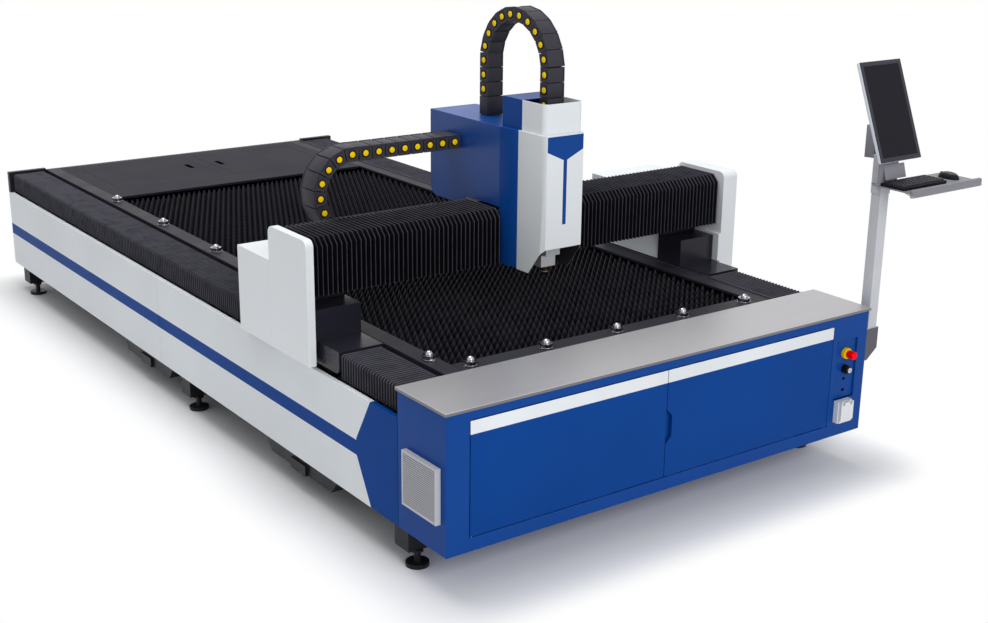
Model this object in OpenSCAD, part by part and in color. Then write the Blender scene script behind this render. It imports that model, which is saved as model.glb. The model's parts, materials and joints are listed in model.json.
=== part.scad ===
// Open flat-bed fiber laser cutting machine: front cabinet, slat bed, gantry, head carriage and console.
// Millimetres. X runs across the bed, Y from the cabinet to the rear, Z up from the floor.

/* [Body] */
// Width of the cabinet and bed body
body_w = 2000; // [1900:10:2400]
// Length of the machine body
body_l = 4300; // [4200:10:6000]
// Height of the cabinet's top plate
deck_h = 660; // [640:1:760]
// Height of the bottom edge of cabinet and side panels
ground_gap = 150; // [140:1:170]
// Depth of the front cabinet
cabinet_d = 290; // [260:1:300]
// Thickness of folded sheet metal
sheet_t = 3; // [2:0.5:4]
// Gap between neighbouring sheet parts
seam_gap = 2; // [1:0.5:4]
// Drop from the deck to the top edge of the side panels
panel_drop = 111; // [105:1:118]
// Width of the folded lips of the side panels
panel_lip = 20; // [10:1:24]
// Place of the seam between front and rear side panels
panel_seam_y = 2288; // [1500:1:3000]
// Thickness of the rear wall
rear_wall_t = 30; // [10:1:40]

/* [Top plate] */
// Height of the folded edge of the top plate
top_t = 12; // [8:1:20]
// Overhang of the top plate past the cabinet
top_over = 6; // [4:1:12]

/* [Doors] */
// Distance from the left side to the door opening
door_left_in = 93; // [80:1:140]
// Distance from the right side to the door opening
door_right_in = 193; // [190:1:230]
// Place of the split between the doors
door_split_x = 946; // [800:1:1100]
// Drop from the deck to the door opening
door_drop = 44; // [40:1:60]
// Rise from the cabinet bottom to the door opening
door_rise = 50; // [35:1:70]
// Depth of the folded doors
door_d = 20; // [18:1:30]
// Gap around the doors
door_gap = 3; // [2.5:0.5:5]
// Radius of the door hinge pins
hinge_pin_r = 3; // [2:0.5:4]
// Running clearance of pins and shafts
run_fit = 0.3; // [0.2:0.05:0.5]
// Width of the finger notch at the door split
notch_w = 27; // [20:1:40]
// Height of the finger notch
notch_h = 135; // [100:1:180]

/* [Controls] */
// Width of the recessed control plate
ctrl_w = 116; // [100:1:130]
// Height of the recessed control plate
ctrl_h = 244; // [230:1:250]
// Distance from the right side to the control plate
ctrl_in = 53; // [45:1:60]
// Depth of the control recess
ctrl_depth = 8; // [5:1:15]
// Radius of the emergency stop collar
estop_collar_r = 22; // [20:1:26]
// Radius of the emergency stop head
estop_r = 16; // [14:1:19]
// Travel of the emergency stop
estop_travel = 6; // [4:1:8]
// Radius of the key switch collar
key_collar_r = 17; // [15:1:20]
// Radius of the key switch core
key_r = 11; // [8:1:13]
// Width of the socket box
socket_w = 78; // [70:1:100]
// Height of the socket box
socket_h = 90; // [80:1:92]
// Depth of the socket box
socket_d = 22; // [18:1:30]
// Thickness of the socket lid
socket_lid_t = 14; // [8:1:20]

/* [Vent] */
// Length of the filter vent
vent_l = 206; // [180:1:220]
// Height of the filter vent
vent_h = 198; // [150:1:210]
// Depth of the filter vent
vent_d = 20; // [12:1:30]
// Number of louvre blades
vent_blades = 24; // [12:1:26]

/* [Frame] */
// Distance from the side to the upper beam
beam_in = 75; // [70:1:85]
// Width of the upper beams
beam_w = 130; // [124:1:134]
// Height of the upper and cross beams
beam_h = 140; // [100:1:160]
// Drop from the deck to the top of the upper beams
beam_drop = 125; // [120:1:126]
// Wall of the frame tubes
tube_wall = 8; // [5:1:12]
// Height of the lower beams
low_beam_h = 80; // [60:1:100]
// Size of the square legs
leg_w = 90; // [70:1:100]
// Height of the levelling feet
foot_h = 62; // [50:1:75]
// Radius of the levelling foot disc
foot_r = 42; // [30:1:55]
// Place of the front legs
leg_front_y = 296; // [270:1:330]
// Place of the middle legs
leg_mid_y = 2069; // [1700:1:2080]
// Distance from the rear to the rear legs
leg_rear_in = 135; // [120:1:260]
// Number of cross members under the bed
cross_count = 6; // [4:1:8]
// Size of the cross members
cross_w = 60; // [40:1:80]

/* [Bed] */
// Width of the bed rim bars
rim_w = 72; // [72:1:90]
// Thickness of the bed rim bars
rim_t = 12; // [8:1:20]
// Drop from the deck to the top of the rim
rim_drop = 10; // [6:1:20]
// Depth of the front rim bar
rim_front_d = 88; // [80:1:120]
// Number of slats
slat_count = 51; // [20:1:51]
// Spacing of the slats
slat_pitch = 58.5; // [50:0.5:59]
// Height of the slats
slat_h = 100; // [80:1:110]
// Thickness of the slats
slat_t = 3; // [2:0.5:5]
// Teeth of each slat
slat_teeth = 50; // [20:1:60]
// Height of the slat teeth
tooth_h = 28; // [20:1:60]
// Radius of the cups of the ball supports
ball_cup_r = 24; // [20:1:26]
// Radius of the support balls
ball_r = 14; // [10:1:16]
// Length of the rear deck
rear_deck_l = 838; // [760:1:860]
// Distance from the rim bars to the lift-out rear covers
rear_cover_side = 85; // [60:1:120]
// Distance between the two lift-out rear covers
rear_cover_gap = 68; // [50:1:120]
// Length of each lift-out rear cover
rear_cover_l = 570; // [400:1:600]

/* [Drawers] */
// Length of the slag drawers along the bed
drawer_l = 570; // [480:1:640]
// Reach of the slag drawers across the bed
drawer_reach = 900; // [600:1:1200]
// Height of the slag drawers
drawer_h = 60; // [50:1:66]
// Slope run of the drawer ends
drawer_slope = 48; // [30:1:70]
// Place of the front drawer
drawer_front_y = 742; // [600:1:900]
// Place of the rear drawer
drawer_rear_y = 2211; // [2150:1:2600]

/* [Gantry] */
// Place of the front of the gantry legs
gantry_y = 705; // [660:1:760]
// Length of the gantry legs along the rails
gantry_l = 705; // [700:1:800]
// Height of the gantry leg base
base_h = 84; // [70:1:90]
// Height of the pedestal on the leg base
pedestal_h = 113; // [100:1:120]
// Height of the neck between pedestal and beam
neck_h = 44; // [30:1:60]
// Height of the gantry beam
gbeam_h = 170; // [160:1:178]
// Depth of the gantry beam
gbeam_d = 155; // [140:1:165]
// Depth of the gantry bellows
xbel_d = 246; // [240:1:260]
// Height of the gantry bellows
xbel_h = 216; // [208:1:220]
// Chamfer of the gantry bellows
xbel_cut = 30; // [20:1:40]
// Fold pitch of the gantry bellows
xbel_pitch = 20; // [20:1:60]
// Fold depth of the bellows
fold_d = 14; // [8:1:16]
// Thickness of the bellows skin
skin_t = 3; // [2:0.5:5]
// Thickness of the left end cover
cover_left_t = 32; // [20:1:60]
// Thickness of the right end cover
cover_right_t = 80; // [60:1:100]
// Length of the end covers
cover_l = 289; // [285:1:300]
// Height of the end covers
cover_h = 471; // [460:1:480]
// Corner radius of the end covers
cover_r = 28; // [20:1:60]
// Length of the rear drive boxes
rear_box_l = 262; // [250:1:264]
// Height of the left rear drive box
rear_box_h = 250; // [240:1:260]
// Further height of the right rear drive box
rear_box_rise = 73; // [40:1:80]

/* [Side bellows] */
// Width of the bed bellows
ybel_w = 173; // [165:1:176]
// Height of the bed bellows
ybel_h = 93; // [90:1:96]
// Fold pitch of the bed bellows
ybel_pitch = 28; // [20:1:80]

/* [Head carriage] */
// Place of the carriage's left face
carriage_x = 840; // [500:1:1100]
// Width of the carriage
carriage_w = 225; // [215:1:260]
// Height of the carriage cover above the beam's underside
carriage_h = 541; // [520:1:600]
// Depth of the blue column
column_d = 96; // [90:1:110]
// Length of the blue carriage cover
carriage_l = 484; // [440:1:520]
// Depth of the white head cover
head_d = 165; // [150:1:180]
// Height of the sleeve above the head cover
sleeve_h = 115; // [100:1:140]
// Depth of the sleeve
sleeve_d = 143; // [135:1:150]
// Radius of the cutting head body
head_r = 35; // [28:1:40]
// Travel of the cutting head
head_travel = 120; // [80:1:125]

/* [Chains] */
// Height of the chain links
link_h = 56; // [44:1:58]
// Nominal pitch of the chain links
link_pitch = 56; // [40:1:80]
// Width of the gantry chain
xchain_w = 108; // [60:1:110]
// Bend radius of the gantry chain
xchain_r = 146; // [144:1:160]
// Distance from the carriage to the gantry chain's bend
xchain_reach = 491; // [420:1:520]
// Width of the head chain
zchain_w = 76; // [50:1:80]
// Bend radius of the head chain
zchain_r = 195; // [190:1:200]
// Height of the head chain's straight leg above the carriage cover
zchain_leg = 217; // [200:1:280]

/* [Console] */
// Size of the console post along X
post_w = 50; // [40:1:60]
// Size of the console post along Y
post_d = 46; // [40:1:60]
// Distance from the cabinet side to the post
post_out = 60; // [50:1:90]
// Height of the keyboard tray
tray_h = 1135; // [1000:1:1250]
// Width of the keyboard tray
tray_w = 420; // [390:1:520]
// Depth of the keyboard tray
tray_d = 155; // [150:1:220]
// Width of the monitor
monitor_w = 236; // [230:1:400]
// Height of the monitor
monitor_h = 392; // [340:1:480]
// Thickness of the monitor
monitor_t = 17; // [16:1:30]
// Backward tilt of the monitor
monitor_tilt = 22; // [15:1:25]

/* [Hidden] */
$fn = 48;
eps = 0.01;
touch = 0.3;

blue = "#123e8a";
white = "#e4e8ea";
black = "#2b2b31";
grey = "#8d8f96";
steel = "#b9bcc2";

// Sheet body
panel_top = deck_h - panel_drop;
rear_y = body_l - rear_wall_t;
top_z = deck_h - sheet_t;
bed_gap = 10;
bed_y = cabinet_d + top_over + bed_gap;

// Door opening
door_x0 = door_left_in;
door_x1 = body_w - door_right_in;
door_z0 = ground_gap + door_rise;
door_z1 = deck_h - door_drop;
hinge_in = 8;
hinge_back = 7;
hinge_block = 16;
hinge_l = 24;

unit_gap = 60;
source_w = 600;
source_h = 250;
drive_w = 660;
drive_h = 300;

// Controls
ctrl_x1 = body_w - ctrl_in;
ctrl_x0 = ctrl_x1 - ctrl_w;
ctrl_drop = 112;
ctrl_z1 = deck_h - ctrl_drop;
ctrl_z0 = ctrl_z1 - ctrl_h;
ctrl_y = ctrl_depth;
ctrl_mid_x = (ctrl_x0 + ctrl_x1) / 2;
estop_z = ctrl_z1 - 57;
key_z = estop_z - 65;
port_x = ctrl_mid_x + 4;
port_zs = [key_z - 43, key_z - 90];
port_w = 16;
port_h = 10;
plate_screw = [ctrl_x0 + 15, ctrl_z1 - 10];
plate_screw_r = 4;
stem_r = 9;
stem_back = 12;
collar_h = 14;
key_collar_h = 26;
contact_w = 36;
contact_d = 40;
estop_l = 30;
estop_edge = 4;
key_l = 6;
key_slot_w = 3;
key_slot_l = 12;
socket_shift = 10;
socket_x = ctrl_mid_x - socket_shift - socket_w / 2;
socket_z = ctrl_z0 - seam_gap - socket_h;
lid_pin_r = 4;
lid_in = 4;
ear_w = 12;
ear_in = 12;
well_in = 10;
well_top = 22;

// Frame
beam_x = beam_in;
beam_top = deck_h - beam_drop;
beam_z = beam_top - beam_h;
low_x = 35;
low_top = ground_gap + low_beam_h;
leg_x = 15;
post_x = beam_x;
post_size = low_x + beam_w - beam_x;
frame_y = cabinet_d;
frame_l = rear_y - frame_y;
leg_rear_y = body_l - leg_rear_in;
leg_ys = [leg_front_y, leg_mid_y, leg_rear_y];
post_ys = [(frame_y + leg_mid_y) / 2, leg_mid_y, (leg_mid_y + leg_rear_y) / 2, leg_rear_y];
tab_ys = [for (share = [0.05, 0.35, 0.65, 0.95]) frame_y + share * frame_l];
tab_rise = 20;
cross_in = 100;
bracket_w = 40;
bracket_t = 16;
foot_t = 15;
stem_foot_r = 12;
foot_shift = 30;
nut_h = 10;

// Bed
rim_top = deck_h - rim_drop;
rim_x = beam_x + beam_w;
web_t = 8;
rim_in = rim_x + web_t + rim_w;
bed_x0 = rim_in;
bed_x1 = body_w - rim_in;
rim_y1 = bed_y + rim_front_d;
deck_y0 = rear_y - rear_deck_l;
slat_start = 46;
slat_drop = 5;
slat_in = 8;
slat_y0 = rim_y1 + slat_start;
slat_top = rim_top - slat_drop;
slat_z = slat_top - slat_h;
slat_x0 = bed_x0 + slat_in;
slat_l = bed_x1 - bed_x0 - 2 * slat_in;
slat_bar_t = 12;
slat_bar_in = 30;
rim_lip_w = 14;
rim_lip_h = 4;
rim_fit = 0.5;
ball_row_in = 52;
ball_row_n = 5;
ball_gap = (body_w - 2 * rim_in - 2 * ball_row_in) / (ball_row_n - 1);
ball_row_y = bed_y + rim_front_d / 2;
ball_row_x = rim_x + web_t + rim_w / 2;
ball_side_in = 84;
ball_side_y0 = rim_y1 + ball_side_in;
ball_side_n = 6;
ball_side_gap = (deck_y0 - ball_side_in - ball_side_y0) / (ball_side_n - 1);
cup_h = 20;
ball_flange = 2;
ball_flange_t = 5;
ball_ear = 26;
ball_ear_r = 9;
deck_t = 12;
cover_ledge = 12;
cover_t = 4;
hand_slot_l = 100;
hand_slot_w = 26;
hand_slot_in = 58;
hand_slot_back = 55;
deck_shift = 39;
deck_mid = (deck_y0 + rear_y) / 2 + deck_shift;
rear_cover_w = (body_w - rear_cover_gap) / 2 - rim_in - rear_cover_side;
cover_mid_x = (rear_cover_gap + rear_cover_w) / 2;

// Cabinet vent
vent_y = 30;
vent_drop = 398;
vent_rim = 8;

// Drawers
drawer_x = 20;
drawer_top = ground_gap - 9;
drawer_wall = 3;
drawer_flange = 12;
runner_t = 4;
runner_l = body_w - 2 * low_x;
handle_l = 115;
handle_h = 42;
handle_t = 12;
flange_in = 20;

// Y axis
rail_w = 23;
rail_h = 22;
rail_x = beam_x + beam_w / 2;
block_w = 70;
block_l = 84;
block_in = 40;
block_lift = 6;
axis_h = 36;
rack_w = 18;
rack_h = 25;
rack_z = beam_top - 35;
pinion_r = 20;
pinion_teeth = 20;
pinion_h = 24;
shaft_r = 9;
pinion_x = beam_x - rack_w - pinion_r - 0.6;
pinion_back = 560;
pinion_y = gantry_y + pinion_back;

// Gantry
base_z = beam_top + axis_h;
base_top = base_z + base_h;
base_x = 17;
base_w = rim_x - 5 - base_x;
base_r = 25;
pedestal_x = base_x;
pedestal_w = rim_x - pedestal_x;
pedestal_back = 163;
pedestal_y = gantry_y + pedestal_back;
pedestal_l = 122;
neck_t = 22;
gbeam_z = base_top + pedestal_h + neck_h;
gbeam_top = gbeam_z + gbeam_h;
xbel_rise = 6;
xbel_z = gbeam_z + xbel_rise;
xbel_y = gantry_y + 157;
gbeam_y = xbel_y + 53;
cover_y = gantry_y + 133;
cover_rise = 10;
cover_z = base_z - 4;
rear_box_y = cover_y + cover_l;
rear_box_top = base_top + rear_box_h;
rear_box_over = 78;
rear_box_in = rim_x - 5;
low_box_x = 52;
low_box_y = pedestal_y + pedestal_l + neck_t + 3;
low_box_top = gbeam_z - 17;
ledge_z = gbeam_z - 35;
ledge_in = 12;
ledge_wall = 5;
xbel_lip = 40;
motor_w = 80;
motor_h = 170;
motor_cut = 14;
coder_r = 20;
coder_h = 25;

// Bed bellows
ybel_x = 22;
ybel_y = cabinet_d + top_over + seam_gap;
ybel_top = deck_h - 12;
ybel_z = ybel_top - ybel_h;

// Head carriage
carriage_x1 = carriage_x + carriage_w;
head_x = carriage_x + carriage_w / 2;
carriage_top = gbeam_z + carriage_h;
column_y = xbel_y + 21;
column_front = column_y - column_d;
column_cut = 32;
column_in = 15;
column_z = gbeam_z + 5;
cover_back = column_y + carriage_l;
cover_low = gbeam_top + 18;
cover_arch = xbel_z + xbel_h + 5;
cover_corner = 46;
head_front = column_front - head_d;
head_cut = 23;
head_chamfer = 12;
cheek_z = gbeam_z - 1;
sleeve_top = carriage_top + sleeve_h;
sleeve_in = 22;
sleeve_front = head_front + 10;
sleeve_r = 25;
sleeve_back = sleeve_front + sleeve_d;
plate_t = 20;
plate_y = xbel_y - 1;
plate_in = 12;
plate_z = gbeam_z + 13;
plate_top = carriage_top - 13;
xrail_h = 22;
xrail_w = 20;
xrail_in = 20;
xrail_zs = [gbeam_z + 38, gbeam_z + 138];
xrack_y = gbeam_y + 35;
xrack_w = 20;
xrack_h = 22;
xpinion_y = xrack_y + xrack_w + pinion_r + 0.6;
bracket_z = gbeam_top + 30;
bracket_h = 12;
bracket_back = xpinion_y + 70;
zrail_w = 15;
zrail_d = 15;
zrail_gap = 125;
zscrew_r = 8;
zscrew_y = plate_y - 16;
bearing_h = 20;
bearing_w = 44;
bearing_front = 12;
bearing_high = plate_top - bearing_h;
zmotor_w = 60;
zmotor_h = 95;
zmotor_front = 16;
slide_lift = 190;
slide_z = gbeam_z + slide_lift;
bearing_gap = 7;
bearing_low = slide_z - head_travel - bearing_gap - bearing_h;
slide_h = 180;
slide_w = 180;
shoe_w = 40;
nut_low = 70;
clamp_low = 40;
clamp_h = 100;
slide_t = 18;
slide_y = plate_y - 29 - slide_t;
head_y = head_front + 113;
head_low = gbeam_z + 50;
head_l = 430;
nozzle_tip = gbeam_z - 25;
mount_w = 60;
chain_post_t = 20;
chain_post_w = 50;
chain_post_y = head_y + head_r + 10;

// Chains
chain_wall = 6;
chain_gap = 0.8;
pivot_r = 13;
pivot_h = 2;
xchain_y = gbeam_y + gbeam_d + 76;
xchain_low = gbeam_top - 20;
xchain_mid = xchain_low + xchain_r;
xchain_bend = carriage_x - xchain_reach;
xchain_fixed = xchain_bend + 450;
zchain_x = head_x + 17;
zchain_in = 243;
zchain_back = cover_back - zchain_in;
zchain_front = zchain_back - 2 * zchain_r;
zchain_mid = carriage_top + zchain_leg;
zchain_low = sleeve_top - 50;
tray_t = 5;
tray_x = rim_x + 5;
tray_end = xchain_fixed + xchain_reach;
tray_flange = 60;
tray_edge = 8;

// Console
post_x0 = body_w + post_out;
post_y0 = 46;
post_mid = [post_x0 + post_w / 2, post_y0 + post_d / 2];
bracket_top = deck_h - 112;
bracket_drop = 245;
bracket_low = deck_h - bracket_drop;
console_out = post_out + post_w + 10;
post_top = tray_h - 40;
spigot_r = 16;
spigot_h = 70;
tray_t2 = 4;
tray_x0 = post_x0 - 25;
tray_y0 = post_y0 - 131;
lip_d = 40;
lip_drop = 12;
collar_top = tray_h + 115;
collar_t = 2;
back_plate_w = 110;
back_plate_t = 6;
ear_t = 28;
monitor_y = post_y0 - 65;
monitor_z = tray_h + 105;
tilt_r = 8;
tilt_y = post_mid[1];
tilt_z = collar_top + 105;
keyboard_w = 256;
keyboard_d = 112;
keyboard_t = 18;

// Overall box, for the origin at its bottom centre
x_min = -cover_left_t;
x_max = max(tray_x0 + tray_w, body_w + cover_right_t);
y_min = tray_y0 - lip_d;
y_max = body_l;
mid_x = (x_min + x_max) / 2;
mid_y = (y_min + y_max) / 2;

// Moves a shape from bed coordinates to the part's own origin
module at_origin() {
    translate([-mid_x, -mid_y, 0]) children();
}

// Mirrors a left-hand shape to the right-hand side of the bed
module right_side() {
    translate([body_w, 0, 0]) mirror([1, 0, 0]) children();
}

module both_sides() {
    children();
    right_side() children();
}

// Block between two corners
module block(a, b) {
    translate(a) cube(b - a);
}

// Extrudes an outline drawn in Y and Z along X
module along_x(x0, w) {
    translate([x0, 0, 0]) rotate([90, 0, 90]) linear_extrude(w) children();
}

// Extrudes an outline drawn in X and Z along Y
module along_y(y0, l) {
    translate([0, y0 + l, 0]) rotate([90, 0, 0]) linear_extrude(l) children();
}

// Rectangular tube along an axis, 0 for X, 1 for Y and 2 for Z
module tube(a, b, axis, wall = tube_wall) {
    inset = [for (i = [0:2]) i == axis ? -1 : wall];
    difference() {
        block(a, b);
        block(a + inset, b - inset);
    }
}

// Rounded rectangle between two corners with its own radius at the two top corners
module round_top(a, b, r) {
    translate(a) square([b[0] - a[0], b[1] - a[1] - r]);
    translate([a[0] + r, a[1]]) square([b[0] - a[0] - 2 * r, b[1] - a[1]]);
    for (x = [a[0] + r, b[0] - r]) translate([x, b[1] - r]) circle(r);
}

// Toothed pinion lying in X and Y, on a plain shaft
module pinion(h, shaft_l) {
    step = 360 / pinion_teeth;
    tooth = 2.6;
    points = [for (i = [0:pinion_teeth - 1], k = [0:3])
        let (a = i * step + [0, 0.3, 0.5, 0.8][k] * step, r = k < 2 ? pinion_r - tooth : pinion_r)
        [r * cos(a), r * sin(a)]];
    linear_extrude(h) polygon(points);
    cylinder(h = h + shaft_l, r = shaft_r);
}

// Folded bellows swept along Z between a valley outline and a peak outline of equal point count
module bellows(valley, peak, length, pitch) {
    folds = max(2, round(length / pitch));
    m = len(valley);
    stations = 2 * folds;
    points = [for (k = [0:stations], p = k % 2 == 0 ? valley : peak) [p[0], p[1], k * length / stations]];
    sides = [for (k = [0:stations - 1], i = [0:m - 1])
        let (j = (i + 1) % m) [k * m + i, (k + 1) * m + i, (k + 1) * m + j, k * m + j]];
    low_cap = [for (i = [0:m - 1]) i];
    high_cap = [for (i = [m - 1:-1:0]) stations * m + i];
    polyhedron(points, concat(sides, [low_cap, high_cap]), convexity = 10);
}

// Point and normal of a chain path at a distance s: run a, half turn of radius r, run back
function u_point(s, a, r) =
    s < a ? [-s, -r] :
    s < a + PI * r ? [-a - r * sin((s - a) / r * 180 / PI), -r * cos((s - a) / r * 180 / PI)] :
    [-a + (s - a - PI * r), r];
function u_normal(s, a, r) =
    s < a ? [0, -1] :
    s < a + PI * r ? [-sin((s - a) / r * 180 / PI), -cos((s - a) / r * 180 / PI)] :
    [0, 1];
function u_corner(s, a, r, off) = u_point(s, a, r) + off * u_normal(s, a, r);

// Drag chain in its own plane: outline in X and Y, width along Z, with pivots on both sides
module drag_chain(a, r, b, w) {
    total = a + PI * r + b;
    links = round(total / link_pitch);
    pitch = total / links;
    for (k = [0:links - 1]) {
        s0 = k * pitch + chain_gap / 2;
        s1 = (k + 1) * pitch - chain_gap / 2;
        mid = u_point((s0 + s1) / 2, a, r);
        difference() {
            linear_extrude(w) chain_quad(s0, s1, a, r, link_h / 2);
            translate([0, 0, chain_wall])
                linear_extrude(w - 2 * chain_wall) chain_quad(s0 - 1, s1 + 1, a, r, link_h / 2 - chain_wall);
        }
        translate([mid[0], mid[1], -pivot_h]) cylinder(h = pivot_h, r = pivot_r);
        translate([mid[0], mid[1], w]) cylinder(h = pivot_h, r = pivot_r);
    }
}

module chain_quad(s0, s1, a, r, off) {
    polygon([
        u_corner(s0, a, r, off), u_corner(s1, a, r, off),
        u_corner(s1, a, r, -off), u_corner(s0, a, r, -off)
    ]);
}

// Upper and lower longitudinal beams with the tabs that hold the side panels
module frame_beams() {
    color(black) at_origin() both_sides() {
        tube([beam_x, frame_y, beam_z], [beam_x + beam_w, rear_y, beam_top], 1);
        tube([low_x, frame_y, ground_gap], [low_x + beam_w, rear_y, low_top], 1);
        for (y = tab_ys) {
            block([sheet_t, y, beam_z + tab_rise], [beam_x, y + bracket_w, beam_z + tab_rise + bracket_t]);
            block([sheet_t, y, ground_gap + tab_rise],
                [low_x, y + bracket_w, ground_gap + tab_rise + bracket_t]);
        }
    }
}

// Short legs over the feet and the uprights between the beams
module frame_posts() {
    color(black) at_origin() both_sides() {
        for (y = leg_ys) {
            tube([leg_x, y - leg_w / 2, foot_h], [leg_x + leg_w, y + leg_w / 2, ground_gap], 2);
            block([leg_x, y - leg_w / 2, foot_h], [leg_x + leg_w, y + leg_w / 2, foot_h + tube_wall]);
        }
        for (y = post_ys)
            tube([post_x, y - leg_w / 2, low_top], [post_x + post_size, y + leg_w / 2, beam_z], 2);
    }
}

// Tubes that tie the two sides together
module cross_members() {
    color(black) at_origin() {
        span = frame_l - 2 * cross_w - 2 * cross_in;
        for (i = [0:cross_count - 1]) {
            y = frame_y + cross_in + i * span / (cross_count - 1);
            tube([rim_x + web_t, y, beam_z], [body_w - rim_x - web_t, y + 2 * cross_w, beam_z + cross_w], 0);
        }
        for (y = [leg_mid_y, leg_rear_y])
            tube([low_x + beam_w, y - cross_w, ground_gap],
                [body_w - low_x - beam_w, y + cross_w, ground_gap + cross_w], 0);
    }
}

// Bars on which the slats stand
module slat_bars() {
    color(black) at_origin()
        for (x = [slat_x0 + slat_bar_in, body_w / 2, body_w - slat_x0 - slat_bar_in])
            block([x - slat_bar_t / 2, frame_y + cross_in, beam_z + cross_w],
                [x + slat_bar_t / 2, deck_y0 - seam_gap, slat_z]);
}

// Saw-tooth slats across the bed
module slats() {
    pitch = slat_l / slat_teeth;
    teeth = [for (i = [0:slat_teeth - 1], k = [0:1]) [(i + k / 2) * pitch, slat_h - tooth_h + k * tooth_h]];
    outline = concat([[0, 0]], teeth, [[slat_l, slat_h - tooth_h], [slat_l, 0]]);
    color(black) at_origin()
        for (i = [0:slat_count - 1])
            translate([slat_x0, 0, slat_z]) along_y(slat_y0 + i * slat_pitch, slat_t) polygon(outline);
}

// Levelling feet: disc, stem and lock nut
module feet() {
    color(black) at_origin() both_sides()
        for (y = leg_ys)
            translate([leg_x + leg_w / 2, y - foot_shift, 0]) {
                cylinder(h = foot_t, r = foot_r);
                cylinder(h = foot_h, r = stem_foot_r);
                translate([0, 0, foot_h - nut_h]) cylinder(h = nut_h, r = 2 * stem_foot_r, $fn = 6);
            }
}

// Rim bars around the bed, with webs down to the upper beams
module bed_rim() {
    color(black) at_origin() {
        both_sides() along_y(bed_y, rear_y - bed_y)
            polygon([
                [rim_x, beam_z], [rim_x + web_t, beam_z], [rim_x + web_t, rim_top - rim_t],
                [rim_in, rim_top - rim_t], [rim_in, rim_top], [rim_x + rim_lip_w, rim_top],
                [rim_x + rim_lip_w, rim_top + rim_lip_h], [rim_x, rim_top + rim_lip_h]
            ]);
        block([rim_in + rim_fit, bed_y, rim_top - rim_t], [body_w - rim_in - rim_fit, rim_y1, rim_top]);
    }
}

// Ball in its cup, on a flange with two screw ears
module ball_support() {
    difference() {
        union() {
            cylinder(h = cup_h, r = ball_cup_r);
            cylinder(h = ball_flange_t, r = ball_cup_r + ball_flange);
            for (s = [-1, 1]) translate([s * ball_ear, 0, 0]) cylinder(h = ball_flange_t, r = ball_ear_r);
        }
        translate([0, 0, cup_h]) sphere(ball_r + touch);
    }
    translate([0, 0, cup_h]) sphere(ball_r);
}

// Ball supports for loading sheets, along the front bar and the left bar
module ball_supports() {
    color(steel) at_origin() {
        for (i = [0:ball_row_n - 1])
            translate([rim_in + ball_row_in + i * ball_gap, ball_row_y, rim_top]) ball_support();
        for (i = [0:ball_side_n - 1])
            translate([ball_row_x, ball_side_y0 + i * ball_side_gap, rim_top]) rotate(90) ball_support();
    }
}

module rear_cover_outline(x, grow, z0, z1) {
    block([x - rear_cover_w / 2 - grow, deck_mid - rear_cover_l / 2 - grow, z0],
        [x + rear_cover_w / 2 + grow, deck_mid + rear_cover_l / 2 + grow, z1]);
}

// Deck behind the slats, with a stepped opening for each cover
module rear_deck() {
    color(black) at_origin() difference() {
        block([rim_in + rim_fit, deck_y0, rim_top - deck_t], [body_w - rim_in - rim_fit, rear_y, rim_top]);
        for (x = [body_w / 2 - cover_mid_x, body_w / 2 + cover_mid_x]) {
            rear_cover_outline(x, -cover_ledge, rim_top - deck_t - 1, rim_top + 1);
            rear_cover_outline(x, 1, rim_top - cover_t, rim_top + 1);
        }
    }
}

// Lift-out covers with a hand slot each
module rear_covers() {
    color(black) at_origin()
        for (s = [-1, 1]) {
            x = body_w / 2 + s * cover_mid_x;
            slot_x = x - s * (rear_cover_w / 2 - hand_slot_in);
            slot_y = deck_mid + hand_slot_back;
            difference() {
                rear_cover_outline(x, 0, rim_top - cover_t, rim_top);
                block([slot_x - hand_slot_w / 2, slot_y - hand_slot_l / 2, rim_top - cover_t - 1],
                    [slot_x + hand_slot_w / 2, slot_y + hand_slot_l / 2, rim_top + 1]);
            }
        }
}

module side_panel(y0, y1) {
    along_y(y0, y1 - y0)
        polygon([
            [0, ground_gap], [panel_lip, ground_gap], [panel_lip, ground_gap + sheet_t],
            [sheet_t, ground_gap + sheet_t], [sheet_t, panel_top - sheet_t], [panel_lip, panel_top - sheet_t],
            [panel_lip, panel_top], [0, panel_top]
        ]);
}

// Side panels, two a side, each a folded channel
module side_panels() {
    color(white) at_origin() both_sides() {
        side_panel(cabinet_d + seam_gap, panel_seam_y - seam_gap / 2);
        side_panel(panel_seam_y + seam_gap / 2, body_l);
    }
}

// Rear wall between the side panels, up to the deck behind the bellows
module rear_panel() {
    x0 = panel_lip + seam_gap;
    color(black) at_origin() {
        block([x0, rear_y, ground_gap], [body_w - x0, body_l, rim_top]);
        both_sides() block([0, rear_y, panel_top + touch], [rim_x, body_l, deck_h]);
    }
}

// Guide rails and racks of the gantry travel
module y_rails_racks() {
    color(steel) at_origin() both_sides() {
        block([rail_x - rail_w / 2, frame_y, beam_top], [rail_x + rail_w / 2, rear_y, beam_top + rail_h]);
        block([beam_x - rack_w, frame_y, rack_z], [beam_x, rear_y, rack_z + rack_h]);
    }
}

// Inverted channel outlines of the bed bellows
function ybel_outline(inset) = [
    [ybel_x + inset, ybel_z], [ybel_x + fold_d + skin_t, ybel_z],
    [ybel_x + fold_d + skin_t, ybel_top - fold_d - skin_t],
    [ybel_x + ybel_w - fold_d - skin_t, ybel_top - fold_d - skin_t],
    [ybel_x + ybel_w - fold_d - skin_t, ybel_z], [ybel_x + ybel_w - inset, ybel_z],
    [ybel_x + ybel_w - inset, ybel_top - inset], [ybel_x + inset, ybel_top - inset]
];

module y_bellows(y0, y1) {
    translate([0, y1, 0]) rotate([90, 0, 0])
        bellows(ybel_outline(fold_d), ybel_outline(0), y1 - y0, ybel_pitch);
}

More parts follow.
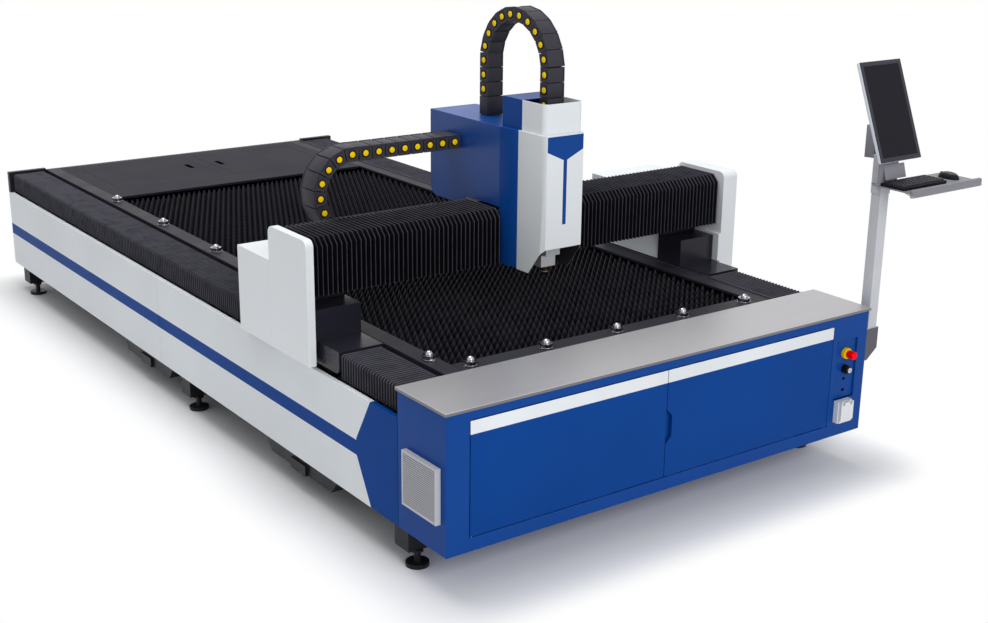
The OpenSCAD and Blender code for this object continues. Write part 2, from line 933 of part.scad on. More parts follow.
// Bellows between the cabinet and the gantry legs
module y_bellows_front() {
    color(black) at_origin() both_sides() y_bellows(ybel_y, gantry_y - touch);
}

// Bellows between the gantry legs and the rear wall
module y_bellows_rear() {
    color(black) at_origin() both_sides() y_bellows(gantry_y + gantry_l + touch, rear_y);
}

// Cabinet shell with door opening and control recess
module cabinet_shell() {
    color(blue) at_origin() difference() {
        block([0, 0, ground_gap], [body_w, cabinet_d, top_z]);
        block([sheet_t, sheet_t, ground_gap + sheet_t], [body_w - sheet_t, cabinet_d - sheet_t, top_z + 1]);
        block([door_x0, -1, door_z0], [door_x1, sheet_t + 1, door_z1]);
        block([ctrl_x0, -1, ctrl_z0], [ctrl_x1, sheet_t + 1, ctrl_z1]);
    }
}

// Stainless top plate, a shallow pan over the shell
module top_plate() {
    color(steel) at_origin() difference() {
        block([-top_over, -top_over, deck_h - top_t], [body_w + top_over, cabinet_d + top_over, deck_h]);
        block([-top_over / 2, -top_over / 2, deck_h - top_t - 1],
            [body_w + top_over / 2, cabinet_d + top_over / 2, top_z]);
    }
}

// Hinge bracket behind the shell's front with its pin, pointing up or down
module door_hinge(x, z, up) {
    block([x - hinge_block / 2, sheet_t, up ? z - hinge_l : z],
        [x + hinge_block / 2, sheet_t + hinge_block, up ? z : z + hinge_l]);
    translate([x, hinge_back, up ? z - hinge_l / 2 : z - hinge_l])
        cylinder(h = 1.5 * hinge_l, r = hinge_pin_r);
}

function hinge_left_x() = door_x0 + door_gap + hinge_in;
function hinge_right_x() = door_x1 - door_gap - hinge_in;

// Four pivot hinges of the doors
module door_hinges() {
    color(steel) at_origin()
        for (x = [hinge_left_x(), hinge_right_x()]) {
            door_hinge(x, door_z0, true);
            door_hinge(x, door_z1, false);
        }
}

// Door pan with hinge blocks, between two X values
module door_pan(x0, x1, hinge_x) {
    z0 = door_z0 + door_gap;
    z1 = door_z1 - door_gap;
    difference() {
        union() {
            difference() {
                block([x0, 0, z0], [x1, door_d, z1]);
                block([x0 + sheet_t, sheet_t, z0 + sheet_t], [x1 - sheet_t, door_d + 1, z1 - sheet_t]);
            }
            for (z = [z0, z1 - 1.5 * hinge_l])
                block([hinge_x - hinge_block / 2, 0, z],
                    [hinge_x + hinge_block / 2, hinge_block, z + 1.5 * hinge_l]);
        }
        for (z = [z0 - 1, z1 - hinge_l])
            translate([hinge_x, hinge_back, z]) cylinder(h = hinge_l + 1, r = hinge_pin_r + run_fit);
    }
}

module door_left() {
    color(blue) at_origin() door_pan(door_x0 + door_gap, door_split_x - door_gap / 2, hinge_left_x());
}

// Finger notch outline at the split
module notch(grow, y0, y1) {
    z = (door_z0 + door_z1) / 2 - 13;
    x = door_split_x + door_gap / 2;
    w = notch_w + grow;
    h = notch_h / 2 + grow;
    along_y(y0, y1 - y0) polygon([[x, z - h], [x + w, z - h + w], [x + w, z + h - w], [x, z + h]]);
}

// Right door with a folded finger pocket behind the notch
module door_right() {
    color(blue) at_origin() difference() {
        union() {
            door_pan(door_split_x + door_gap / 2, door_x1 - door_gap, hinge_right_x());
            notch(sheet_t, 0, door_d);
        }
        translate([-1, 0, 0]) notch(0, -1, door_d - sheet_t);
    }
}

// Louvred filter vent on the cabinet's left side
module vent_grille() {
    z0 = deck_h - vent_drop;
    pitch = (vent_h - 2 * vent_rim) / vent_blades;
    color(grey) at_origin() difference() {
        block([-vent_d, vent_y, z0], [0, vent_y + vent_l, z0 + vent_h]);
        for (i = [0:vent_blades - 1])
            along_y(vent_y + vent_rim, vent_l - 2 * vent_rim)
                translate([-vent_d, z0 + vent_rim + i * pitch])
                polygon([[-1, pitch / 4], [vent_rim, pitch / 2], [vent_rim, pitch - 1], [-1, pitch - 1]]);
    }
}

// Control plate set back in its recess
module control_plate() {
    color(blue) at_origin() difference() {
        union() {
            block([ctrl_x0, ctrl_y, ctrl_z0], [ctrl_x1, ctrl_y + sheet_t, ctrl_z1]);
            for (x = [ctrl_x0 - 8, ctrl_x1])
                block([x, sheet_t, ctrl_z0], [x + 8, ctrl_y + sheet_t, ctrl_z1]);
            translate([plate_screw[0], ctrl_y + 1, plate_screw[1]]) rotate([90, 0, 0])
                cylinder(h = plate_screw_r / 2 + 1, r = plate_screw_r);
        }
        for (z = [estop_z, key_z])
            translate([ctrl_mid_x, 0, z]) rotate([-90, 0, 0]) cylinder(h = contact_d, r = stem_r + run_fit);
        for (z = port_zs)
            block([port_x - port_w / 2, 0, z - port_h / 2], [port_x + port_w / 2, contact_d, z + port_h / 2]);
    }
}

// Collars and contact blocks of the two switches
module switch_bodies() {
    color("gold") at_origin()
        for (s = [[estop_z, estop_collar_r, collar_h], [key_z, key_collar_r, key_collar_h]])
            translate([ctrl_mid_x, ctrl_y, s[0]]) rotate([-90, 0, 0]) {
                difference() {
                    translate([0, 0, -s[2]]) cylinder(h = s[2], r = s[1]);
                    translate([0, 0, -s[2] - 1]) cylinder(h = s[2] + 2, r = stem_r + run_fit);
                }
                translate([0, 0, sheet_t]) difference() {
                    translate([-contact_w / 2, -contact_w / 2, 0]) cube([contact_w, contact_w, contact_d]);
                    translate([0, 0, -1]) cylinder(h = contact_d - 10, r = stem_r + run_fit);
                }
            }
}

module estop_button() {
    color("red") at_origin() translate([ctrl_mid_x, ctrl_y - collar_h - estop_travel - touch, estop_z])
        rotate([90, 0, 0]) {
            cylinder(h = estop_l - estop_edge, r = estop_r);
            translate([0, 0, estop_l - estop_edge])
                cylinder(h = estop_edge, r1 = estop_r, r2 = estop_r - estop_edge);
            translate([0, 0, -collar_h - stem_back]) cylinder(h = collar_h + stem_back, r = stem_r);
        }
}

module key_core() {
    color(steel) at_origin() translate([ctrl_mid_x, ctrl_y - key_collar_h - touch, key_z])
        rotate([90, 0, 0]) difference() {
            union() {
                cylinder(h = key_l, r = key_r);
                translate([0, 0, -key_collar_h - stem_back])
                    cylinder(h = key_collar_h + stem_back, r = stem_r);
            }
            translate([-key_slot_w / 2, -key_slot_l / 2, key_l / 3]) cube([key_slot_w, key_slot_l, key_l]);
        }
}

function socket_ears() = [socket_x + ear_in, socket_x + socket_w - ear_in - ear_w];

// Socket box with its well and two hinge ears
module socket_box() {
    color(white) at_origin() difference() {
        union() {
            block([socket_x, -socket_d, socket_z], [socket_x + socket_w, 0, socket_z + socket_h]);
            for (x = socket_ears())
                along_x(x, ear_w) translate([-socket_d - lid_pin_r, socket_z + socket_h - lid_pin_r])
                    socket_ear();
        }
        block([socket_x + well_in, -socket_d - 1, socket_z + well_in],
            [socket_x + socket_w - well_in, -well_in / 2, socket_z + socket_h - well_top]);
        for (x = socket_ears())
            translate([x - 1, -socket_d - lid_pin_r, socket_z + socket_h - lid_pin_r])
                rotate([0, 90, 0]) cylinder(h = ear_w + 2, r = lid_pin_r / 2 + run_fit);
    }
}

module socket_ear() {
    circle(lid_pin_r);
    translate([0, -lid_pin_r]) square([lid_pin_r + 1, 2 * lid_pin_r]);
}

// Lid on its pin, notched for the ears
module socket_lid() {
    y1 = -socket_d - touch;
    y0 = y1 - socket_lid_t;
    pin = [0, -socket_d - lid_pin_r, socket_z + socket_h - lid_pin_r];
    color(white) at_origin() {
        difference() {
            union() {
                block([socket_x + lid_in, y0, socket_z + 3 * lid_in],
                    [socket_x + socket_w - lid_in, y1, pin[2] + lid_pin_r / 2]);
                block([socket_x + lid_in, y0 + socket_lid_t / 2, socket_z + lid_in / 2],
                    [socket_x + socket_w - lid_in, y1, socket_z + 3 * lid_in]);
            }
            for (x = socket_ears())
                block([x - 1, y0 - 1, pin[2] - 2 * lid_pin_r - 2],
                    [x + ear_w + 1, y1 + 1, pin[2] + 3 * lid_pin_r]);
            block([socket_x, pin[1] + 2, pin[2] - lid_pin_r],
                [socket_x + socket_w, y1 + 1, pin[2] + lid_pin_r]);
        }
        translate([socket_x + lid_in + 1, pin[1], pin[2]]) rotate([0, 90, 0])
            cylinder(h = socket_w - 2 * lid_in - 2, r = lid_pin_r / 2);
    }
}

// Laser source and drive unit standing on the cabinet floor
module cabinet_units() {
    floor_z = ground_gap + sheet_t;
    unit_back = cabinet_d - sheet_t;
    source_x = door_x0 + unit_gap;
    drive_x = door_x1 - 2 * unit_gap - drive_w;
    color(grey) at_origin() {
        block([source_x, unit_gap, floor_z], [source_x + source_w, unit_back, floor_z + source_h]);
        block([drive_x, unit_gap, floor_z], [drive_x + drive_w, unit_back, floor_z + drive_h]);
    }
}

function drawer_y1(y) = y + drawer_l;

module drawer_outline(y, grow) {
    z0 = drawer_top - drawer_h;
    polygon([
        [y + drawer_slope + grow, z0 + grow], [drawer_y1(y) - drawer_slope - grow, z0 + grow],
        [drawer_y1(y) - grow, drawer_top + (grow > 0 ? 1 : 0)], [y + grow, drawer_top + (grow > 0 ? 1 : 0)]
    ]);
}

// Slag drawer: a trough with sloped ends, flanges that ride on the runners and a pull block
module slag_drawer(y) {
    color(black) at_origin() {
        difference() {
            along_x(drawer_x, drawer_reach) drawer_outline(y, 0);
            along_x(drawer_x + drawer_wall, drawer_reach - 2 * drawer_wall) drawer_outline(y, drawer_wall);
        }
        for (side = [[y - drawer_flange, y + 1], [drawer_y1(y) - 1, drawer_y1(y) + drawer_flange]])
            block([drawer_x + flange_in, side[0], drawer_top - drawer_wall],
                [drawer_x + drawer_reach, side[1], drawer_top]);
        block([drawer_x - handle_t, y + drawer_l / 2 - handle_l / 2, drawer_top - drawer_h],
            [drawer_x + 1, y + drawer_l / 2 + handle_l / 2, drawer_top - drawer_h + handle_h]);
    }
}

module drawer_front() {
    slag_drawer(drawer_front_y);
}

module drawer_rear() {
    slag_drawer(drawer_rear_y);
}

// Angle runner beside a drawer, with its ledge towards the drawer
module drawer_runner(y, inward) {
    ledge_z = drawer_top - drawer_wall - touch;
    web = [y, y + inward * runner_t];
    ledge = [y, y - inward * (drawer_flange + touch)];
    block([low_x, min(web), ledge_z - runner_t], [low_x + runner_l, max(web), ground_gap]);
    block([low_x, min(ledge), ledge_z - runner_t], [low_x + runner_l, max(ledge), ledge_z]);
}

module drawer_runners() {
    color(grey) at_origin()
        for (y = [drawer_front_y, drawer_rear_y]) {
            drawer_runner(y - drawer_flange - 2, -1);
            drawer_runner(drawer_y1(y) + drawer_flange + 2, 1);
        }
}

// Console post on its bracket, with a round spigot for the arm
module console_post() {
    color(grey) at_origin() {
        along_y(post_y0 - 4, post_d + 8)
            polygon([
                [body_w, bracket_low], [body_w + console_out - 55, bracket_low],
                [body_w + console_out, bracket_low + 45], [body_w + console_out, bracket_top],
                [body_w, bracket_top]
            ]);
        block([post_x0, post_y0, bracket_top - 1], [post_x0 + post_w, post_y0 + post_d, post_top]);
        translate([post_mid[0], post_mid[1], post_top - 1]) cylinder(h = spigot_h + 1, r = spigot_r);
    }
}

// Swivel collar, keyboard tray with a folded lip, and the upright that carries the monitor
module console_arm() {
    ear_x = post_mid[0];
    color(grey) at_origin() difference() {
        union() {
            block([post_x0 - collar_t, post_y0 - collar_t, post_top + touch],
                [post_x0 + post_w + collar_t, post_y0 + post_d + collar_t, collar_top]);
            block([ear_x - back_plate_w / 2, post_y0 - collar_t - back_plate_t, tray_h - 1],
                [ear_x + back_plate_w / 2, post_y0 - collar_t + 1, collar_top]);
            block([tray_x0, tray_y0, tray_h - tray_t2], [tray_x0 + tray_w, tray_y0 + tray_d, tray_h]);
            along_x(tray_x0, tray_w)
                polygon([
                    [tray_y0 + 1, tray_h - tray_t2], [tray_y0 + 1, tray_h],
                    [tray_y0 - lip_d, tray_h - lip_drop], [tray_y0 - lip_d, tray_h - lip_drop - tray_t2]
                ]);
            along_x(ear_x - ear_t / 2, ear_t)
                polygon([
                    [post_y0, collar_top - 1], [post_y0 + post_d, collar_top - 1],
                    [tilt_y + 2 * tilt_r, tilt_z + tilt_r], [tilt_y - tilt_r, tilt_z + 2 * tilt_r]
                ]);
        }
        translate([post_mid[0], post_mid[1], post_top - 1])
            cylinder(h = spigot_h + 2, r = spigot_r + run_fit);
        translate([ear_x - ear_t, tilt_y, tilt_z]) rotate([0, 90, 0])
            cylinder(h = 2 * ear_t, r = tilt_r + run_fit);
    }
}

// Keyboard with key rows
module keyboard() {
    x0 = tray_x0 + 6;
    y0 = tray_y0 + 8;
    cell = (keyboard_w - 12) / 14;
    color(black) at_origin() difference() {
        block([x0, y0, tray_h], [x0 + keyboard_w, y0 + keyboard_d, tray_h + keyboard_t]);
        for (i = [1:13])
            block([x0 + 6 + i * cell - 1, y0 + 6, tray_h + keyboard_t - 4],
                [x0 + 6 + i * cell + 1, y0 + keyboard_d - 6, tray_h + keyboard_t + 1]);
        for (j = [1:4])
            block([x0 + 6, y0 + 6 + j * (keyboard_d - 12) / 5 - 1, tray_h + keyboard_t - 4],
                [x0 + keyboard_w - 6, y0 + 6 + j * (keyboard_d - 12) / 5 + 1, tray_h + keyboard_t + 1]);
    }
}

// Mouse, a rounded shell on the tray
module mouse() {
    color(black) at_origin() translate([tray_x0 + tray_w - 75, tray_y0 + 75, tray_h])
        intersection() {
            translate([-30, -52, 0]) cube([60, 104, 34]);
            translate([0, 0, -60]) rotate([90, 0, 0]) cylinder(h = 104, r = 92, center = true);
            translate([0, 0, -106]) rotate([0, 90, 0]) cylinder(h = 60, r = 138, center = true);
        }
}

// Monitor on a tilt bracket with its own pin
module monitor() {
    color(black) at_origin() {
        translate([post_mid[0], monitor_y, monitor_z]) rotate([-monitor_tilt, 0, 0])
            difference() {
                translate([-monitor_w / 2, 0, 0]) cube([monitor_w, monitor_t, monitor_h]);
                translate([-monitor_w / 2 + 10, -1, 10]) cube([monitor_w - 20, 3, monitor_h - 20]);
            }
        for (s = [-1, 1]) along_x(post_mid[0] + s * 21 - 5, 10) monitor_ear();
        translate([post_mid[0] - 26, tilt_y, tilt_z]) rotate([0, 90, 0]) cylinder(h = 52, r = tilt_r);
    }
}

function screen_back(z) = [
    monitor_y + z * sin(monitor_tilt) + (monitor_t - 2) * cos(monitor_tilt),
    monitor_z + z * cos(monitor_tilt) - (monitor_t - 2) * sin(monitor_tilt)
];

module monitor_ear() {
    polygon([
        screen_back(60), [tilt_y + tilt_r, tilt_z - 2 * tilt_r],
        [tilt_y + 2 * tilt_r, tilt_z + tilt_r], screen_back(180)
    ]);
}

// Gantry leg: rounded base, pedestal and neck welded together
module gantry_leg() {
    difference() {
        union() {
            along_x(base_x, base_w)
                square_round_low([gantry_y, base_z], [gantry_y + gantry_l, base_top], base_r);
            block([pedestal_x, pedestal_y, base_top - 1],
                [pedestal_x + pedestal_w, pedestal_y + pedestal_l, base_top + pedestal_h]);
            block([pedestal_x, pedestal_y + pedestal_l - neck_t / 4, base_top - 1],
                [pedestal_x + pedestal_w, pedestal_y + pedestal_l + neck_t, gbeam_z]);
        }
        translate([pinion_x, pinion_y, base_z - 1]) cylinder(h = base_h + 2, r = shaft_r + run_fit);
    }
}

// Rectangle with round lower corners
module square_round_low(a, b, r) {
    translate([a[0], a[1] + r]) square([b[0] - a[0], b[1] - a[1] - r]);
    translate([a[0] + r, a[1]]) square([b[0] - a[0] - 2 * r, r + 1]);
    for (x = [a[0] + r, b[0] - r]) translate([x, a[1] + r]) circle(r);
}

module gantry_legs() {
    color(black) at_origin() both_sides() gantry_leg();
}

// Carriage block around a rail that runs along Y
module y_block(y) {
    difference() {
        block([rail_x - block_w / 2, y, beam_top + block_lift], [rail_x + block_w / 2, y + block_l, base_z]);
        block([rail_x - rail_w / 2 - touch, y - 1, beam_top],
            [rail_x + rail_w / 2 + touch, y + block_l + 1, beam_top + rail_h + touch]);
    }
}

module y_blocks() {
    color(steel) at_origin() both_sides()
        for (y = [gantry_y + block_in, gantry_y + gantry_l - block_in - block_l]) y_block(y);
}

// Servo motors over the pinions, inside the rear boxes
module y_motors() {
    color(black) at_origin() both_sides()
        translate([pinion_x, pinion_y, base_top]) {
            block([-motor_w / 2 + motor_cut, -motor_w / 2, 0], [motor_w / 2, motor_w / 2, motor_h]);
            translate([0, 0, motor_h]) cylinder(h = coder_h, r = coder_r);
        }
}

// Pinion and shaft, hanging from its motor
module y_pinion_left() {
    color(steel) at_origin() translate([pinion_x, pinion_y, rack_z])
        pinion(pinion_h, base_top - touch - rack_z - pinion_h);
}

module y_pinion_right() {
    color(steel) at_origin() right_side() translate([pinion_x, pinion_y, rack_z])
        pinion(pinion_h, base_top - touch - rack_z - pinion_h);
}

module beam() {
    color(black) at_origin()
        tube([0, gbeam_y, gbeam_z], [body_w, gbeam_y + gbeam_d, gbeam_top], 0, 10);
}

// Round-topped end cover between two X values
module end_cover_shell(x0, x1, h) {
    along_x(x0, x1 - x0) round_top([cover_y, cover_z], [cover_y + cover_l, cover_z + h], cover_r);
}

// White end covers: a flat one on the left, a deeper stepped one on the right
module end_covers() {
    color(white) at_origin() {
        difference() {
            end_cover_shell(-cover_left_t, 0, cover_h);
            block([-cover_left_t + sheet_t, cover_y + cover_r, cover_z + 10],
                [-sheet_t, cover_y + cover_l - cover_r, cover_z + cover_h - cover_r]);
        }
        difference() {
            union() {
                end_cover_shell(body_w, body_w + cover_right_t, cover_h + cover_rise);
                block([body_w - ledge_in, cover_y, base_top + touch],
                    [body_w + 1, cover_y + cover_l, ledge_z]);
            }
            block([body_w + sheet_t, cover_y + cover_r, cover_z + 10],
                [body_w + cover_right_t - sheet_t, cover_y + cover_l - cover_r, cover_z + cover_h - cover_r]);
            block([body_w - ledge_in + sheet_t, cover_y + sheet_t, base_top - 1],
                [body_w - ledge_wall, cover_y + cover_l - sheet_t, ledge_z - sheet_t]);
        }
    }
}

// Hollow box over a travel motor, with the lower box in front of it
module rear_box(out, top) {
    y1 = rear_box_y + rear_box_l;
    difference() {
        union() {
            block([-out, rear_box_y, cover_z], [rear_box_in, y1, top]);
            block([low_box_x, low_box_y, base_top + touch], [rear_box_in, rear_box_y + 1, low_box_top]);
        }
        block([-out + sheet_t, rear_box_y + sheet_t, cover_z - 1],
            [rear_box_in - sheet_t, y1 - sheet_t, top - sheet_t]);
        block([low_box_x + sheet_t, low_box_y + sheet_t, base_top - 1],
            [rear_box_in - sheet_t, rear_box_y, low_box_top - sheet_t]);
        block([base_x - 1, rear_box_y - 1, cover_z - 1], [rim_x, y1 + 1, base_top + touch]);
    }
}

// Overhanging upper part of the right box, open towards the box
module rear_box_shelf() {
    y1 = rear_box_y + rear_box_l;
    top = rear_box_top + rear_box_rise;
    difference() {
        block([rear_box_in - 1, rear_box_y, rear_box_top], [rear_box_in + rear_box_over, y1, top]);
        block([rear_box_in - 2, rear_box_y + sheet_t, rear_box_top + sheet_t],
            [rear_box_in + rear_box_over - sheet_t, y1 - sheet_t, top - sheet_t]);
    }
}

// White boxes over the travel motors
module rear_boxes() {
    color(white) at_origin() {
        rear_box(cover_left_t, rear_box_top);
        right_side() {
            rear_box(cover_right_t, rear_box_top + rear_box_rise);
            rear_box_shelf();
        }
    }
}

// Guide rails on the beam's front and the rack on its top
module x_rails_rack() {
    color(steel) at_origin() {
        for (z = xrail_zs)
            block([xrail_in, gbeam_y - xrail_h, z - xrail_w / 2],
                [body_w - xrail_in, gbeam_y, z + xrail_w / 2]);
        block([xrail_in, xrack_y, gbeam_top], [body_w - xrail_in, xrack_y + xrack_w, gbeam_top + xrack_h]);
    }
}

// Outlines of the gantry bellows in Y and Z: front wall, chamfer, top and a short rear lip
function xbel_outline(inset) =
    let (y0 = xbel_y, y1 = xbel_y + xbel_d, top = xbel_z + xbel_h, wall = fold_d + skin_t, c = xbel_cut)
    [
        [y0 + inset, xbel_z], [y0 + wall, xbel_z], [y0 + wall, top - wall - c + skin_t],
        [y0 + wall + c - skin_t, top - wall], [y1 - wall, top - wall], [y1 - wall, top - xbel_lip],
        [y1 - inset, top - xbel_lip], [y1 - inset, top - inset], [y0 + inset + c, top - inset],
        [y0 + inset, top - inset - c]
    ];

module x_bellows_run(x0, x1) {
    translate([x0, 0, 0]) rotate([90, 0, 90])
        bellows(xbel_outline(fold_d), xbel_outline(0), x1 - x0, xbel_pitch);
}

// Bellows on both sides of the carriage
module x_bellows() {
    color(black) at_origin() {
        x_bellows_run(touch, carriage_x - touch);
        x_bellows_run(carriage_x1 + touch, body_w - touch);
    }
}

// Angle behind the beam that the gantry chain lies on
module chain_tray() {
    z1 = xchain_low - link_h / 2 - touch;
    color(black) at_origin() {
        block([tray_x, gbeam_y + gbeam_d, z1 - tray_t], [tray_end, xchain_y + xchain_w + tray_edge, z1]);
        block([tray_x, gbeam_y + gbeam_d, z1 - tray_flange], [tray_end, gbeam_y + gbeam_d + tray_t, z1 - 1]);
    }
}

// Gantry chain from the beam's middle, round its bend to the carriage
module chain_x() {
    color(black) at_origin() translate([xchain_fixed, xchain_y + xchain_w, xchain_mid]) rotate([90, 0, 0])
        drag_chain(xchain_fixed - xchain_bend, xchain_r, carriage_x - touch - xchain_bend, xchain_w);
}

// Carriage plate with the motor bracket, Z rails and screw bearings
module carriage_plate() {
    x0 = carriage_x + plate_in;
    x1 = carriage_x1 - plate_in;
    color(steel) at_origin() difference() {
        union() {
            block([x0, plate_y, plate_z], [x1, plate_y + plate_t, plate_top]);
            block([x0, plate_y + plate_t - 1, bracket_z], [x1, bracket_back, bracket_z + bracket_h]);
            for (s = [-1, 1])
                block([head_x + s * zrail_gap / 2 - zrail_w / 2, plate_y - zrail_d, bearing_low + bearing_h],
                    [head_x + s * zrail_gap / 2 + zrail_w / 2, plate_y + 1, bearing_high]);
            for (z = [bearing_low, bearing_high])
                block([head_x - bearing_w / 2, zscrew_y - bearing_front, z],
                    [head_x + bearing_w / 2, plate_y + 1, z + bearing_h]);
        }
        translate([head_x, zscrew_y, plate_z]) cylinder(h = carriage_h, r = zscrew_r + run_fit);
        translate([head_x, xpinion_y, bracket_z - 1]) cylinder(h = bracket_h + 2, r = shaft_r + run_fit);
    }
}

// Carriage blocks around the rails that run along X
module x_blocks() {
    y0 = plate_y + plate_t;
    y1 = gbeam_y - block_lift;
    color(steel) at_origin()
        for (z = xrail_zs, x = [carriage_x + plate_in + 4, carriage_x1 - plate_in - 4 - block_l])
            difference() {
                block([x, y0, z - block_w / 2 + 6], [x + block_l, y1, z + block_w / 2 - 6]);
                block([x - 1, gbeam_y - xrail_h - touch, z - xrail_w / 2 - touch],
                    [x + block_l + 1, y1 + 1, z + xrail_w / 2 + touch]);
            }
}

// Travel motor over the X pinion and screw motor over the Z screw
module carriage_motors() {
    color(black) at_origin() {
        translate([head_x, xpinion_y, bracket_z + bracket_h]) {
            block([-motor_w / 2, -motor_w / 2, 0], [motor_w / 2, motor_w / 2, motor_h]);
            translate([0, 0, motor_h]) cylinder(h = coder_h, r = coder_r);
        }
        block([head_x - zmotor_w / 2, zscrew_y - zmotor_front, plate_top],
            [head_x + zmotor_w / 2, plate_y + plate_t, plate_top + zmotor_h]);
    }
}

module x_pinion() {
    low = gbeam_top + 3;
    color(steel) at_origin() translate([head_x, xpinion_y, low])
        pinion(xrack_h - 4, bracket_z + bracket_h - touch - low - xrack_h + 4);
}

module z_screw() {
    color(steel) at_origin() translate([head_x, zscrew_y, bearing_low])
        cylinder(h = bearing_high + bearing_h - touch - bearing_low, r = zscrew_r);
}

// Side outline of the blue carriage cover, in Y and Z
module carriage_outline(inset) {
    y0 = column_y + (inset > 0 ? -1 : 0);
    arch_y = xbel_y + xbel_d + 5;
    back = cover_back - inset;
    r = cover_corner - inset;
    low = cover_low - (inset > 0 ? 1 : 0);
    arch = cover_arch - (inset > 0 ? 40 : 0);
    translate([y0, arch]) square([arch_y + inset - y0, carriage_top - inset - arch]);
    translate([arch_y + inset - 1, cover_low + cover_corner])
        square([back - arch_y - inset + 1, carriage_top - inset - cover_low - cover_corner]);
    translate([arch_y + inset, low]) square([cover_back - cover_corner - arch_y - inset, cover_corner + 2]);
    translate([cover_back - cover_corner, cover_low + cover_corner]) circle(r);
}

// Blue cover behind the column, open below over the beam
module carriage_cover() {
    color(blue) at_origin() difference() {
        along_x(carriage_x, carriage_w) carriage_outline(0);
        along_x(carriage_x + sheet_t, carriage_w - 2 * sheet_t) carriage_outline(sheet_t);
    }
}

// Column outline in X and Y
function column_points(inset) = [
    [carriage_x + inset, column_y + (inset > 0 ? 1 : 0)], [carriage_x + inset, column_front + column_cut],
    [carriage_x + column_in + inset, column_front - (inset > 0 ? 1 : 0)],
    [carriage_x1 - column_in - inset, column_front - (inset > 0 ? 1 : 0)],
    [carriage_x1 - inset, column_front + column_cut], [carriage_x1 - inset, column_y + (inset > 0 ? 1 : 0)]
];

// Raised block behind the sleeve, from the sleeve's back to past the column
module raised_block(inset, z0, z1) {
    block([carriage_x + sleeve_in + inset, sleeve_back - (inset > 0 ? 1 : 0), z0],
        [carriage_x1 - sleeve_in - inset, column_y + 17 - inset, z1]);
}

// Blue column around the head's guide, with the raised motor block
module column_cover() {
    color(blue) at_origin() difference() {
        union() {
            difference() {
                translate([0, 0, column_z]) linear_extrude(carriage_top - column_z) polygon(column_points(0));
                translate([0, 0, column_z - 1]) linear_extrude(carriage_top - column_z + 1 - sheet_t)
                    polygon(column_points(sheet_t));
            }
            raised_block(0, carriage_top + eps, sleeve_top);
            raised_block(0, carriage_top - sheet_t / 2, carriage_top + 1);
        }
        raised_block(sheet_t, carriage_top - sheet_t - 1, sleeve_top - sheet_t);
        block([carriage_x, column_y, 0], [carriage_x1, column_y + 40, carriage_top]);
        block([carriage_x, head_front, 0], [carriage_x1, column_front, carriage_top]);
    }
}

// Head cover outline in X and Y
function head_points(inset) =
    let (x0 = carriage_x + column_in, x1 = carriage_x1 - column_in)
    [
        [x0 + inset, column_front + (inset > 0 ? 1 : 0)], [x0 + inset, head_front + head_cut],
        [x0 + head_chamfer + inset * 0.6, head_front + inset],
        [x1 - head_chamfer - inset * 0.6, head_front + inset],
        [x1 - inset, head_front + head_cut], [x1 - inset, column_front + (inset > 0 ? 1 : 0)]
    ];

// Sleeve outline in X and Y, round at its two front corners
module sleeve_outline(inset) {
    x0 = carriage_x + sleeve_in + inset;
    x1 = carriage_x1 - sleeve_in - inset;
    y0 = sleeve_front + inset;
    r = sleeve_r - inset;
    translate([x0, y0 + r]) square([x1 - x0, sleeve_back - y0 - r - inset]);
    translate([x0 + r, y0]) square([x1 - x0 - 2 * r, r + 1]);
    for (x = [x0 + r, x1 - r]) translate([x, y0 + r]) circle(r);
}

// White head cover with its cheeks and the sleeve for the chain
module head_cover() {
    cut_z = gbeam_z + 108;
    color(white) at_origin() difference() {
        union() {
            difference() {
                translate([0, 0, cheek_z]) linear_extrude(carriage_top - cheek_z) polygon(head_points(0));
                translate([0, 0, cheek_z - 1]) linear_extrude(carriage_top - cheek_z + 1 - sheet_t)
                    polygon(head_points(sheet_t));
            }
            translate([0, 0, carriage_top - 1]) linear_extrude(sleeve_h + 1) sleeve_outline(0);
        }
        translate([0, 0, carriage_top - sheet_t - 1])
            linear_extrude(sleeve_h + sheet_t + 2) sleeve_outline(sheet_t);
        block([carriage_x + sleeve_in + sheet_t, sleeve_back - sleeve_d / 2, carriage_top - sheet_t - 1],
            [carriage_x1 - sleeve_in - sheet_t, column_front + 1, sleeve_top + 1]);
        block([carriage_x, column_front, 0], [carriage_x1, column_y, carriage_top - sheet_t]);
        along_x(carriage_x - 1, carriage_w + 2)
            polygon([
                [head_front - 1, cheek_z - 1], [head_front + 92, cheek_z - 1],
                [head_front + 18, cut_z - 16], [head_front - 1, cut_z]
            ]);
    }
}

// Chain that feeds the cutting head, an arch from the carriage cover to the sleeve
module chain_z() {
    a = zchain_mid - carriage_top - touch;
    color(black) at_origin() translate([zchain_x - zchain_w / 2, zchain_back - zchain_r, zchain_mid])
        rotate([0, 0, 90]) rotate([90, 0, 0]) rotate([0, 0, -90]) translate([a, 0, 0]) mirror([0, 1, 0])
        drag_chain(a, zchain_r, zchain_mid - zchain_low, zchain_w);
}

